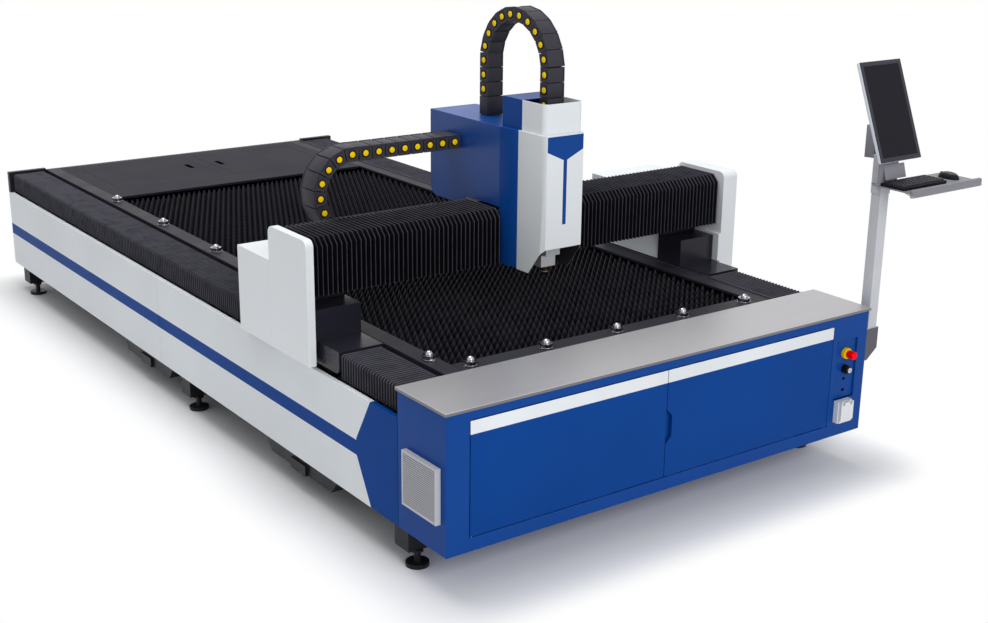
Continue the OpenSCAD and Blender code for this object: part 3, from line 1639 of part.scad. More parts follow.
// Slide with its rail shoes, screw nut, head clamp and chain post
module z_slide() {
    y1 = plate_y - zrail_d + 9;
    post_x0 = zchain_x - chain_post_w / 2;
    post_x1 = zchain_x + chain_post_w / 2;
    color(steel) at_origin() difference() {
        union() {
            block([head_x - slide_w / 2, slide_y, slide_z],
                [head_x + slide_w / 2, slide_y + slide_t, slide_z + slide_h]);
            for (x = [head_x - zrail_gap / 2, head_x + zrail_gap / 2])
                block([x - shoe_w / 2, slide_y, slide_z], [x + shoe_w / 2, y1, slide_z + slide_h]);
            block([head_x - shoe_w / 2, slide_y, slide_z + nut_low],
                [head_x + shoe_w / 2, zscrew_y + 14, slide_z + nut_low + shoe_w]);
            block([head_x - mount_w / 2, head_y, slide_z + clamp_low],
                [head_x + mount_w / 2, slide_y + 1, slide_z + clamp_low + clamp_h]);
            block([post_x0, chain_post_y, slide_z + clamp_h],
                [post_x1, chain_post_y + chain_post_t, zchain_low - touch]);
            block([post_x0, chain_post_y, slide_z + clamp_h], [post_x1, slide_y + 1, slide_z + slide_h]);
            block([post_x0, zchain_front - chain_post_t, zchain_low - chain_post_t - touch],
                [post_x1, chain_post_y + 1, zchain_low - touch]);
        }
        for (s = [-1, 1])
            block([head_x + s * zrail_gap / 2 - zrail_w / 2 - touch, plate_y - zrail_d - touch, slide_z - 1],
                [head_x + s * zrail_gap / 2 + zrail_w / 2 + touch, plate_y + 1, slide_z + slide_h + 1]);
        translate([head_x, zscrew_y, slide_z]) cylinder(h = slide_h, r = zscrew_r + run_fit);
        translate([head_x, head_y, slide_z]) cylinder(h = slide_h, r = head_r);
    }
}

// Cutting head: optics body, sensor blocks and nozzle
module cutting_head() {
    color(steel) at_origin() translate([head_x, head_y, 0]) {
        translate([0, 0, head_low + 40]) cylinder(h = head_l - 40, r = head_r);
        block([-25, -40, head_low + 8], [42, 25, head_low + 41]);
        block([-40, -30, gbeam_z + 14], [28, 25, head_low + 9]);
        translate([0, 0, nozzle_tip + 14]) cylinder(h = gbeam_z + 15 - nozzle_tip - 14, r = 16);
        translate([0, 0, nozzle_tip]) cylinder(h = 14, r1 = 5, r2 = 13);
    }
}

frame_beams();
frame_posts();
cross_members();
slat_bars();
slats();
feet();
bed_rim();
ball_supports();
rear_deck();
rear_covers();
side_panels();
rear_panel();
y_rails_racks();
y_bellows_front();
y_bellows_rear();
cabinet_shell();
top_plate();
door_hinges();
vent_grille();
control_plate();
switch_bodies();
socket_box();
cabinet_units();
drawer_runners();
console_post();
door_left();
door_right();
estop_button();
key_core();
socket_lid();
drawer_front();
drawer_rear();
gantry_legs();
y_blocks();
y_motors();
beam();
end_covers();
rear_boxes();
x_rails_rack();
x_bellows();
chain_tray();
chain_x();
y_pinion_left();
y_pinion_right();
carriage_plate();
x_blocks();
carriage_motors();
carriage_cover();
column_cover();
head_cover();
chain_z();
x_pinion();
z_screw();
z_slide();
cutting_head();
console_arm();
keyboard();
mouse();
monitor();
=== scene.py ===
# %% [markdown]
# # A flat-bed laser cutting machine
# The machine is a low bed with a blue cabinet across its front, a field of saw-tooth slats, a gantry that
# rolls along the bed under black bellows, and a head that rides across the gantry. The solids of the machine
# come in as a frame. This lesson dresses that frame: it rounds the sheet-metal edges, models the slats,
# bellows, chains and small fittings, and gives each surface the finish of the real one.

import json
import math

import bpy
from mathutils import Matrix, Vector

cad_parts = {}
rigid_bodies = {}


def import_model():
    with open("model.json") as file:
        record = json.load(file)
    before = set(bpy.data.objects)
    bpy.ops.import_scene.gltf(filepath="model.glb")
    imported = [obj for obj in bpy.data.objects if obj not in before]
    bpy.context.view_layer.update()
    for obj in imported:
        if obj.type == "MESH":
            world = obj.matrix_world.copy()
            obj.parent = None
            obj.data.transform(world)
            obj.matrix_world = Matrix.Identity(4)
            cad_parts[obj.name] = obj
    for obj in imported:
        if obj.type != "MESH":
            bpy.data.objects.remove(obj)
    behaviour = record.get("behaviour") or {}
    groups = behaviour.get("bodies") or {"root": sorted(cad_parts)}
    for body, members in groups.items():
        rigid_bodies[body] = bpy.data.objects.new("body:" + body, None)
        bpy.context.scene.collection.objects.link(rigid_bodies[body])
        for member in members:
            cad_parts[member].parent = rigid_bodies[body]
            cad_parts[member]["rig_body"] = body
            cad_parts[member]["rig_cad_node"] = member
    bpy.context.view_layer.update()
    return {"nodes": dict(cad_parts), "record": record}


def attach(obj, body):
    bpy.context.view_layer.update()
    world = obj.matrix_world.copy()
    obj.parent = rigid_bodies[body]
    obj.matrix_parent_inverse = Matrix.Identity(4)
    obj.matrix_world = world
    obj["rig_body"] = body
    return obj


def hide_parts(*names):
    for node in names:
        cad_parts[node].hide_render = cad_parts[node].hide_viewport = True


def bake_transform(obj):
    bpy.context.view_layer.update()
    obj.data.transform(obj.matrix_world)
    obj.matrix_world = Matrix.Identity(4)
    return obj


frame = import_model()
BODY_OF = {n: b for b, ns in frame["record"]["behaviour"]["bodies"].items() for n in ns}

# %% [markdown]
# ## The workshop ruler
# The machine was measured in millimetres from the cabinet's front left corner on the floor. The frame is in
# metres from the middle of its box, so one small function turns a measured point into a point of the frame.

# %% Measured millimetres to frame metres
BOX_MIDDLE = (1211.5, 2087.5)


def mm(x, y, z):
    return Vector(((x - BOX_MIDDLE[0]) / 1000, (y - BOX_MIDDLE[1]) / 1000, z / 1000))


CABINET_CORNER = mm(0, 0, 0)
print("cabinet corner:", [round(c, 4) for c in CABINET_CORNER])

# %% [markdown]
# ## The camera
# The photograph looks down on the front left corner from head height. Its straight edges give the camera's
# place, its turn and a lens a little longer than normal, so the camera is written down as three directions.

# %% Camera
LOOK_RIGHT = Vector((0.81250688, -0.58285876, 0.0104036))
LOOK_UP = Vector((0.1687997, 0.25231422, 0.95280858))
LOOK_AHEAD = Vector((0.55797781, 0.7724074, -0.30339343))
CAMERA_PLACE = Vector((-3.55902, -5.58978, 2.34093))

camera = bpy.data.objects.new("photo_camera", bpy.data.cameras.new("photo_camera"))
bpy.context.scene.collection.objects.link(camera)
turn = Matrix((LOOK_RIGHT, LOOK_UP, -LOOK_AHEAD)).transposed().to_4x4()
camera.matrix_world = Matrix.Translation(CAMERA_PLACE) @ turn
camera.data.sensor_width = 36
camera.data.lens = 52.3716
camera.data.clip_end = 100
bpy.context.scene.camera = camera
print("camera:", round(camera.data.lens, 1), "mm lens")

# %% [markdown]
# ## Hand tools
# Modelling by hand means: nothing selected, one primitive added, then faces, edges or points picked and
# changed. These helpers do the picking. An operator works on all that is selected, so each helper starts
# by letting go of everything.

# %% Helpers for modelling


def let_go():
    if bpy.context.object and bpy.context.object.mode != "OBJECT":
        bpy.ops.object.mode_set(mode="OBJECT")
    bpy.ops.object.select_all(action="DESELECT")


def take(*objs):
    let_go()
    for o in objs:
        o.select_set(True)
    bpy.context.view_layer.objects.active = objs[0]
    return objs[0]


def pick(obj, kind, test):
    """Goes into edit mode with only the faces, edges or points selected that pass the test."""
    take(obj)
    bpy.ops.object.mode_set(mode="EDIT")
    bpy.ops.mesh.select_mode(type=kind)
    bpy.ops.mesh.select_all(action="DESELECT")
    bpy.ops.object.mode_set(mode="OBJECT")
    points = obj.data.vertices
    if kind == "FACE":
        for f in obj.data.polygons:
            f.select = test(f.center, f.normal)
    elif kind == "EDGE":
        for e in obj.data.edges:
            a, b = points[e.vertices[0]].co, points[e.vertices[1]].co
            e.select = test((a + b) / 2, (b - a).normalized())
    else:
        for p in points:
            p.select = test(p.co, p.normal)
    bpy.ops.object.mode_set(mode="EDIT")


def modifier(obj, kind, **settings):
    m = obj.modifiers.new(kind.lower(), kind)
    for key, value in settings.items():
        setattr(m, key, value)
    take(obj)
    bpy.ops.object.modifier_apply(modifier=m.name)


def settle(obj, angle=35):
    """Puts the piece's place in its mesh and shades its round parts smooth."""
    take(obj)
    bpy.ops.object.transform_apply(location=True, rotation=True, scale=True)
    bpy.ops.object.shade_smooth_by_angle(angle=math.radians(angle))
    return obj


def block(name, low, high, ease=0.0, segments=2):
    """A cube between two corners with its edges eased in edit mode."""
    let_go()
    bpy.ops.mesh.primitive_cube_add(size=1, location=(low + high) / 2)
    obj = bpy.context.object
    obj.name = name
    obj.scale = high - low
    bpy.ops.object.transform_apply(location=True, rotation=True, scale=True)
    if ease:
        bpy.ops.object.mode_set(mode="EDIT")
        bpy.ops.mesh.select_all(action="SELECT")
        bpy.ops.mesh.bevel(offset=ease, segments=segments, affect="EDGES")
        bpy.ops.object.mode_set(mode="OBJECT")
    return obj


def rod(name, start, end, radius, ease=0.0, sides=32):
    """A cylinder from one point to another with its two rims eased."""
    let_go()
    way = end - start
    bpy.ops.mesh.primitive_cylinder_add(vertices=sides, radius=radius, depth=way.length)
    obj = bpy.context.object
    obj.name = name
    if ease:
        pick(obj, "EDGE", lambda c, d: abs(d.z) < 0.5 and abs(abs(c.z) - way.length / 2) < 1e-6)
        bpy.ops.mesh.bevel(offset=ease, segments=2, affect="EDGES")
        bpy.ops.object.mode_set(mode="OBJECT")
    obj.matrix_world = Matrix.Translation((start + end) / 2) @ way.to_track_quat("Z", "Y").to_matrix().to_4x4()
    take(obj)
    bpy.ops.object.transform_apply(location=True, rotation=True, scale=True)
    return obj


def joined(name, objs):
    take(*objs)
    if len(objs) > 1:
        bpy.ops.object.join()
    objs[0].name = name
    return objs[0]


def copy_of(obj, name):
    take(obj)
    bpy.ops.object.duplicate()
    twin = bpy.context.object
    twin.name = name
    return twin


print("helpers ready")

# %% [markdown]
# ## Shader sums
# A finish is a small sum: a base colour, some cloudiness, a little roughness, a bump. A wrapped socket lets
# these be written as Python expressions, and one method adds any node that an expression can't.

# %% Sockets that can be added and multiplied


class Wire:
    """A shader socket that takes part in Python sums."""

    def __init__(self, finish, socket):
        self.finish = finish
        self.socket = socket

    def sum(self, operation, first, second=0.0):
        return self.finish.add("ShaderNodeMath", {"operation": operation}, {0: first, 1: second})

    def __add__(self, other):
        return self.sum("ADD", self, other)

    __radd__ = __add__

    def __sub__(self, other):
        return self.sum("SUBTRACT", self, other)

    def __rsub__(self, other):
        return self.sum("SUBTRACT", other, self)

    def __mul__(self, other):
        return self.sum("MULTIPLY", self, other)

    __rmul__ = __mul__

    def __gt__(self, other):
        return self.sum("GREATER_THAN", self, other)

    def __lt__(self, other):
        return self.sum("LESS_THAN", self, other)

    def __abs__(self):
        return self.sum("ABSOLUTE", self)

    def bigger(self, other):
        return self.sum("MAXIMUM", self, other)


class Finish:
    """A material with one shader, and the one method that adds any node to it."""

    def __init__(self, name, **shader):
        self.material = bpy.data.materials.new(name)
        self.material.use_nodes = True
        self.tree = self.material.node_tree
        self.shader = self.tree.nodes["Principled BSDF"]
        for key, value in shader.items():
            self.shader.inputs[key.replace("_", " ").title().replace("Ior", "IOR")].default_value = value

    def add(self, kind, settings=None, sockets=None, out=0):
        node = self.tree.nodes.new(kind)
        for key, value in (settings or {}).items():
            setattr(node, key, value)
        for key, value in (sockets or {}).items():
            if isinstance(value, Wire):
                self.tree.links.new(value.socket, node.inputs[key])
            else:
                node.inputs[key].default_value = value
        return Wire(self, node.outputs[out])

    def feed(self, name, wire):
        self.tree.links.new(wire.socket, self.shader.inputs[name])

    def place(self):
        return self.add("ShaderNodeTexCoord", out=3)

    def xyz(self):
        spread = self.add("ShaderNodeSeparateXYZ", {}, {0: self.place()}).socket.node
        return [Wire(self, o) for o in spread.outputs]

    def stretched(self, scale):
        return self.add("ShaderNodeMapping", {}, {"Vector": self.place(), "Scale": scale})

    def noise(self, scale, detail=3.0, vector=None):
        inputs = {"Vector": vector or self.place(), "Scale": scale, "Detail": detail}
        return self.add("ShaderNodeTexNoise", {}, inputs)

    def fade(self, wire, low, high, to_low=0.0, to_high=1.0):
        inputs = {0: wire, 1: low, 2: high, 3: to_low, 4: to_high}
        return self.add("ShaderNodeMapRange", {"interpolation_type": "SMOOTHSTEP"}, inputs)

    def mix(self, factor, a, b):
        sockets = {0: factor, 6: rgba(a), 7: rgba(b)}
        return self.add("ShaderNodeMix", {"data_type": "RGBA"}, sockets, out=2)

    def bump(self, height, strength, distance):
        inputs = {"Height": height, "Strength": strength, "Distance": distance}
        self.feed("Normal", self.add("ShaderNodeBump", {}, inputs))


def rgba(colour):
    return colour if isinstance(colour, Wire) else (*colour, 1.0)


def tint(colour, amount):
    return tuple(min(1.0, c * amount) for c in colour)


print("shader sums ready")

# %% [markdown]
# ## Paint, powder coat and plastic
# The covers are powder coated: a satin coat with a very fine orange peel, slightly cloudy. One recipe makes
#  all of them, from a colour or from a colour sum that carries a painted stripe. Plastics use the same recipe
#  with a finer grain.

# %% Painted finishes
BLUE = (0.003, 0.053, 0.262)
WHITE = (0.76, 0.79, 0.81)
BLACK = (0.0072, 0.0072, 0.0105)
SILVER = (0.56, 0.57, 0.60)
TRAY_GREY = (0.255, 0.250, 0.285)
BRACKET_GREY = (0.120, 0.115, 0.130)


def coat(name, colour, roughness=0.38, peel=0.05, cloud=0.10, grain=700.0, metallic=0.0, clear=0.0, gloss=0.3):
    f = Finish(name, metallic=metallic, coat_weight=clear, coat_roughness=0.12, specular_ior_level=gloss)
    base = colour(f) if callable(colour) else None
    cloudy = f.noise(2.3, 4.0)
    if base is None:
        base = f.mix(cloudy, tint(colour, 1 - cloud), tint(colour, 1 + cloud))
    else:
        shade = f.fade(cloudy, 0.3, 0.7, 1 - cloud, 1.0)
        grey = f.add("ShaderNodeCombineXYZ", {}, {0: shade, 1: shade, 2: shade})
        multiply = {"data_type": "RGBA", "blend_type": "MULTIPLY"}
        base = f.add("ShaderNodeMix", multiply, {0: 1.0, 6: base, 7: grey}, 2)
    f.feed("Base Color", base)
    f.feed("Roughness", f.noise(9.0, 5.0) * 0.16 + (roughness - 0.08))
    f.bump(f.noise(grain, 2.0), peel, 0.0006)
    return f


paint_blue = coat("paint_blue", BLUE, 0.36, gloss=0.08)
paint_carriage = coat("paint_carriage", BLUE, 0.36, gloss=0.3)
paint_white = coat("paint_white", WHITE, 0.40, cloud=0.04)
paint_black = coat("paint_black", BLACK, 0.45, gloss=0.25)
paint_gloss_black = coat("paint_gloss_black", (0.0155, 0.0150, 0.0235), 0.26, gloss=0.20)
paint_grey = coat("paint_grey", (0.50, 0.505, 0.535), 0.45)
paint_tray = coat("paint_tray", TRAY_GREY, 0.42)
paint_rail = coat("paint_rail", (0.225, 0.222, 0.250), 0.42, gloss=0.12)
plastic_silver = coat("plastic_silver", (0.66, 0.70, 0.74), 0.30, 0.03, 0.04, 1800.0)
plastic_bezel = coat("plastic_bezel", (0.046, 0.044, 0.058), 0.40, 0.06, 0.05, 1800.0, gloss=0.1)
screen_glass = coat("screen_glass", (0.0135, 0.0130, 0.0185), 0.14, 0.0, 0.05, 1800.0, gloss=0.06)
plastic_keys = coat("plastic_keys", (0.027, 0.026, 0.034), 0.46, 0.10, 0.10, 1800.0, gloss=0.1)
plastic_shell = coat("plastic_shell", (0.075, 0.074, 0.084), 0.36, 0.06, 0.06, 1800.0, gloss=0.1)
plastic_black = coat("plastic_black", (0.0095, 0.0093, 0.0120), 0.48, 0.12, 0.12, 1800.0, gloss=0.1)
plastic_chain = coat("plastic_chain", (0.039, 0.037, 0.047), 0.46, 0.10, 0.12, 1500.0, gloss=0.12)
plastic_white = coat("plastic_white", (0.70, 0.72, 0.73), 0.30, 0.03, 0.03, 1800.0)
plastic_yellow = coat("plastic_yellow", (1.0, 0.66, 0.0), 0.34, 0.03, 0.02, 1800.0, gloss=0.05)
plastic_red = coat("plastic_red", (0.95, 0.001, 0.001), 0.30, 0.03, 0.05, 1800.0, gloss=0.05)
print("painted finishes:", len(bpy.data.materials))

# %% [markdown]
# ## Painted stripes
# The stripes are masked off and sprayed on the real panels, so they have no thickness. A mask is a sum of
# plane tests on the piece's own coordinates: above one height and below another, in front of a slanted edge.

# %% Striped finishes


def inside(value, low, high):
    return (value > low) * (value < high)


def side_livery(f):
    x, y, z = f.xyz()
    stripe = inside(z, 0.318, 0.375)
    edge = mm(0, 565, 0).y
    lean = 0.094 / 0.161
    front = ((y - edge).bigger(0) < 1e-6) * inside(z, 0.319, 0.381)
    upper = (y < (edge + 0.381 * lean - z * lean)) * (z > 0.380)
    lower = (y < (edge - 0.319 * 0.56 + z * 0.56)) * (z < 0.320)
    return f.mix(stripe.bigger(front).bigger(upper).bigger(lower), WHITE, BLUE)


def door_livery(f):
    x, y, z = f.xyz()
    return f.mix(inside(z, 0.565, 0.6125) * (y < mm(0, 2.6, 0).y), BLUE, WHITE)


def switch_livery(f):
    x, y, z = f.xyz()
    return f.mix(z > 0.459, BLACK, (0.95, 0.60, 0.005))


def post_livery(f):
    x, y, z = f.xyz()
    return f.mix(z > 0.5475, BRACKET_GREY, SILVER)


def arm_livery(f):
    x, y, z = f.xyz()
    sleeve = inside(z, 1.1355, 1.2495) * (y > mm(0, 43.5, 0).y)
    return f.mix((z > 1.1295) * (1 - sleeve), SILVER, TRAY_GREY)


def nozzle_livery(f):
    x, y, z = f.xyz()
    dark = f.mix(inside(z, 0.7985, 0.8035), BLACK, (0.50, 0.30, 0.07))
    return f.mix(z > 0.8262, dark, (0.50, 0.51, 0.54))


def head_livery(f):
    x, y, z = f.xyz()
    off = abs(x - mm(952.5, 0, 0).x)
    badge = (z > (1.253 + off * 0.46)) * (z < 1.3485) * (off < 0.0845)
    line = (off < 0.0085) * inside(z, 1.010, 1.262)
    depth = y - mm(0, 622, 0).y
    corner = (0.0975 - off) * (1 / 0.012) + depth * (1 / 0.023)
    # The recess inside the head cover is painted near black: painted shade in the hollow.
    painted_hollow_shade = (off < 0.0960) * (depth > 0.0015) * (corner > 1.12) * (z < 1.350)
    outside = f.mix(badge.bigger(line) * (depth < 0.0006), WHITE, BLUE)
    return f.mix(painted_hollow_shade, outside, (0.030, 0.029, 0.036))


paint_side = coat("paint_side", side_livery, 0.40, cloud=0.05, gloss=0.03)
paint_door = coat("paint_door", door_livery, 0.36, gloss=0.04)
paint_head = coat("paint_head", head_livery, 0.38, cloud=0.04, gloss=0.12)
plastic_switch = coat("plastic_switch", switch_livery, 0.34, 0.03, 0.04, 1800.0, gloss=0.08)
paint_post = coat("paint_post", post_livery, 0.34, gloss=0.12)
paint_arm = coat("paint_arm", arm_livery, 0.42, gloss=0.12)
head_parts = coat("head_parts", nozzle_livery, 0.32, metallic=0.3)
print("striped finishes: side, door, head, switches, post, nozzle")

# %% [markdown]
# ## Metals
# The top plate is brushed along its length, so its noise is stretched hard along X. The bed's own steel is
# dark and oily with soot in patches; the slats are burnt, with bare bright steel only along their tips. The
# balls and screws are polished.

# %% Metal finishes


def brushed(name, colour, along, roughness=0.3, marks=0.10):
    f = Finish(name, metallic=1.0)
    lines = f.noise(1.0, 2.0, f.stretched(along))
    f.feed("Base Color", f.mix(lines, tint(colour, 1 - marks), tint(colour, 1 + marks)))
    f.feed("Roughness", lines * 0.12 + f.noise(3.0) * 0.10 + (roughness - 0.10))
    f.bump(lines, 0.04, 0.0005)
    return f


def top_sheet():
    f = Finish("steel_top", metallic=0.8)
    x, y, z = f.xyz()
    lines = f.noise(1.0, 2.0, f.stretched((3.0, 420.0, 420.0)))
    sheet = f.mix(lines, (0.40, 0.395, 0.41), (0.50, 0.495, 0.51))
    # The front fold below z 0.6585 is painted darker than the top face: painted shade along the plate's front
    # edge.
    f.feed("Base Color", f.mix(z < 0.6585, sheet, (0.19, 0.185, 0.20)))
    f.feed("Roughness", lines * 0.10 + 0.34)
    return f


def sooty(name, colour, roughness, patch=6.0, depth=0.25, gloss=0.1):
    f = Finish(name, metallic=0.1, specular_ior_level=gloss)
    soot = f.fade(f.noise(patch, 6.0), 0.35, 0.68)
    scratch = f.fade(f.noise(1.0, 2.0, f.stretched((12.0, 300.0, 300.0))), 0.62, 0.75)
    patchy = f.mix(soot, tint(colour, 1 - depth), tint(colour, 1 + depth))
    f.feed("Base Color", f.mix(scratch * depth, patchy, tint(colour, 2.0)))
    f.feed("Roughness", soot * depth * 0.7 + (roughness - 0.05))
    f.bump(f.noise(240.0, 4.0), 0.08, 0.0006)
    return f


def burnt_slat():
    f = Finish("steel_slat", metallic=0.4, specular_ior_level=0.25)
    x, y, z = f.xyz()
    tip = f.fade(z, 0.612, 0.645)
    burn = f.fade(f.noise(14.0, 5.0), 0.35, 0.7)
    dark = f.mix(burn, (0.003, 0.003, 0.0045), (0.009, 0.009, 0.0115))
    f.feed("Base Color", f.mix(tip * 0.75, dark, (0.066, 0.064, 0.084)))
    f.feed("Roughness", burn * 0.2 + 0.42)
    f.bump(f.noise(320.0, 3.0), 0.12, 0.0008)
    return f


steel_top = top_sheet()
steel_machined = brushed("steel_machined", (0.55, 0.56, 0.58), (220.0, 20.0, 220.0), 0.32)
steel_polished = brushed("steel_polished", (0.38, 0.38, 0.41), (60.0, 60.0, 60.0), 0.16, 0.03)
alloy_cast = brushed("alloy_cast", (0.50, 0.51, 0.53), (90.0, 90.0, 90.0), 0.42)
steel_bed = sooty("steel_bed", (0.0210, 0.0205, 0.0285), 0.50, 6.0, 0.15)
steel_deck = sooty("steel_deck", (0.0180, 0.0178, 0.0260), 0.54, 3.0, 0.06, 0.03)
steel_slat = burnt_slat()
print("metal finishes:", len(bpy.data.materials))

# %% [markdown]
# ## Bellows cloth
# The bellows are coated cloth, nearly black. The ridges are painted lighter, partly as wear where the fold
#  edges rub and partly as a painted highlight where they catch the light. So each bellows carries a number at
#  each of its points, nought in the valleys and one on the ridges, and the finish reads it.

# %% Bellows finish


def bellows_cloth(name, valley, crest, start):
    f = Finish(name, specular_ior_level=0.12)
    ridge = f.add("ShaderNodeAttribute", {"attribute_name": "ridge"}, out=2)
    # Ridges painted lighter: wear where the folds rub, plus a painted highlight along the fold edges.
    wear_and_painted_highlight = f.fade(ridge, start, 1.0) * f.fade(f.noise(18.0, 4.0), 0.2, 0.6, 0.55, 1.0)
    f.feed("Base Color", f.mix(wear_and_painted_highlight, valley, crest))
    f.feed("Roughness", 0.62 - wear_and_painted_highlight * 0.2)
    weave = f.add("ShaderNodeTexWave", {"wave_type": "BANDS"}, {"Vector": f.place(), "Scale": 900.0})
    f.bump(weave + f.noise(500.0, 2.0), 0.10, 0.0004)
    return f


cloth = bellows_cloth("bellows_cloth", (0.0022, 0.0021, 0.0036), (0.095, 0.092, 0.120), 0.76)
side_cloth = bellows_cloth("side_cloth", (0.0070, 0.0068, 0.0100), (0.080, 0.078, 0.100), 0.50)
print("bellows finish ready")

# %% [markdown]
# ## Dress every solid
# Each solid gets its finish first, so that nothing is left bare. Many of them are hidden inside the machine.

# %% Finishes of the solids
FINISH_OF = {
    paint_black: "frame_beams frame_posts cross_members slat_bars beam chain_tray rear_panel drawer_front "
    "drawer_rear y_motors carriage_motors feet",
    paint_gloss_black: "gantry_legs",
    steel_machined: "door_hinges drawer_runners y_rails_racks y_blocks x_rails_rack x_blocks key_core "
    "y_pinion_left y_pinion_right x_pinion z_screw",
    steel_slat: "slats",
    steel_bed: "bed_rim",
    steel_deck: "rear_deck rear_covers",
    steel_polished: "ball_supports",
    steel_top: "top_plate",
    paint_side: "side_panels",
    paint_blue: "cabinet_shell control_plate column_cover",
    paint_carriage: "carriage_cover",
    paint_door: "door_left door_right",
    paint_head: "head_cover",
    paint_white: "end_covers rear_boxes",
    paint_grey: "vent_grille cabinet_units",
    paint_post: "console_post",
    paint_arm: "console_arm",
    plastic_white: "socket_box socket_lid",
    plastic_switch: "switch_bodies",
    plastic_red: "estop_button",
    plastic_chain: "chain_x chain_z",
    plastic_black: "keyboard mouse monitor",
    cloth: "x_bellows",
    side_cloth: "y_bellows_front y_bellows_rear",
    alloy_cast: "carriage_plate z_slide",
    head_parts: "cutting_head",
}
for finish, names in FINISH_OF.items():
    for name in names.split():
        mesh = frame["nodes"][name].data
        mesh.materials.clear()
        mesh.materials.append(finish.material)
print("dressed:", sum(len(n.split()) for n in FINISH_OF.values()), "of", len(frame["nodes"]))

# %% [markdown]
# ## Eased edges
# Folded sheet and cast parts have no razor edges: each bend has a small radius, and that radius is what
# catches the light. A copy of each visible solid is welded, its flat triangles are dissolved to clean faces,
# and its sharp edges are beveled. The copy then stands for the solid.

# %% Round the edges of the visible solids


def eased(node, width, segments=2, angle=30):
    piece = copy_of(frame["nodes"][node], node + "_eased")
    bpy.ops.object.parent_clear(type="CLEAR_KEEP_TRANSFORM")
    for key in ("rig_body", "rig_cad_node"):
        del piece[key]
    bpy.ops.object.mode_set(mode="EDIT")
    bpy.ops.mesh.select_all(action="SELECT")
    bpy.ops.mesh.remove_doubles(threshold=0.00002)
    bpy.ops.mesh.dissolve_limited(angle_limit=math.radians(0.5))
    bpy.ops.object.mode_set(mode="OBJECT")
    limit = math.radians(angle)
    modifier(piece, "BEVEL", width=width, segments=segments, limit_method="ANGLE", angle_limit=limit)
    settle(piece)
    modifier(piece, "WEIGHTED_NORMAL", keep_sharp=True)
    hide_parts(node)
    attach(piece, BODY_OF[node])
    return piece


EASE = {
    0.0022: "end_covers head_cover rear_boxes column_cover carriage_cover",
    0.0020: "gantry_legs bed_rim console_post console_arm",
    0.0015: "cabinet_shell door_left door_right top_plate side_panels rear_panel frame_posts drawer_front "
    "drawer_rear chain_tray cutting_head",
    0.0010: "rear_deck rear_covers socket_box socket_lid vent_grille control_plate key_core",
    0.0012: "ball_supports feet switch_bodies estop_button",
}
eased_pieces = {n: eased(n, w) for w, names in EASE.items() for n in names.split()}
print("eased:", len(eased_pieces), "pieces,", sum(len(p.data.polygons) for p in eased_pieces.values()), "faces")

# %% [markdown]
# ## Slats
# A slat is a long blade with a saw edge. One tooth is drawn as a plane whose top edge is split and pulled to
# a point; an array repeats it along the blade, a wall thickness is added, and a second array lays the blades
# across the bed.

# %% Model one tooth, then the field of slats
SLAT_START = (293.0, 440.0, 545.0)
SLAT_LENGTH = 1414.0
SLAT_HEIGHT = 100.0
TOOTH_HEIGHT = 28.0
TEETH = 50
SLATS = 51
SLAT_PITCH = 58.5

tooth_w = SLAT_LENGTH / TEETH
let_go()
bpy.ops.mesh.primitive_plane_add(size=1)
slats = bpy.context.object
slats.name = "slat_field"
slats.matrix_world = Matrix.Rotation(math.radians(90), 4, "X") @ Matrix.Diagonal((tooth_w, SLAT_HEIGHT, 1, 1))
bpy.ops.object.transform_apply(location=True, rotation=True, scale=True)
pick(slats, "EDGE", lambda c, d: c.z > 1 and abs(d.x) > 0.9)
bpy.ops.mesh.subdivide(number_cuts=1)
pick(slats, "VERT", lambda c, n: c.z > 1 and abs(c.x) > 1)
bpy.ops.transform.translate(value=(0, 0, -TOOTH_HEIGHT))
bpy.ops.object.mode_set(mode="OBJECT")
modifier(slats, "ARRAY", count=TEETH, use_relative_offset=False, use_constant_offset=True,
         constant_offset_displace=(tooth_w, 0, 0), use_merge_vertices=True, merge_threshold=0.01)
modifier(slats, "SOLIDIFY", thickness=3.0, offset=0)
modifier(slats, "ARRAY", count=SLATS, use_relative_offset=False, use_constant_offset=True,
         constant_offset_displace=(0, SLAT_PITCH, 0))
corner = mm(*SLAT_START)
slats.scale = (0.001, 0.001, 0.001)
slats.location = corner + Vector((tooth_w / 2000, 0.0015, SLAT_HEIGHT / 2000))
settle(slats, 20)
slats.data.materials.append(steel_slat.material)
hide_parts("slats")
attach(slats, "base")
print("slats:", len(slats.data.polygons), "faces")

# %% [markdown]
# ## Monitor
# The monitor is a thin silver cube with eased edges. Its front is dark: the face is inset once for the
# bezel and once more for a small step down to the glass. The ears, hood and shield around it are bent sheet,
# so each is an outline drawn from the side and extruded across.

# %% Model the monitor
CONSOLE_X = 2085.0
MONITOR_FOOT = mm(CONSOLE_X, -19, 1240)
MONITOR_SIZE = Vector((0.236, 0.017, 0.392))
MONITOR_LEAN = 22
BEZEL = 0.013
EAR = [(17.4, 1290.0), (77, 1339), (85, 1363), (62.3, 1401.3)]
EAR_OFF = 21
EAR_HALF = 5
TILT_PIN = (69, 1355)
PIN_HALF = 26
HOOD = [(92, 1232), (141, 1229), (141, 1356), (112, 1362)]
HOOD_X = (2058, 2112)
SHIELD = [(38, 1212), (44, 1212), (28, 1158), (22, 1158)]
SHIELD_X = (2055, 2174)
RAIL = (mm(2036, -126, 1115), mm(2454, -108, 1147))


def assign(obj, slot):
    obj.active_material_index = slot
    bpy.ops.object.material_slot_assign()


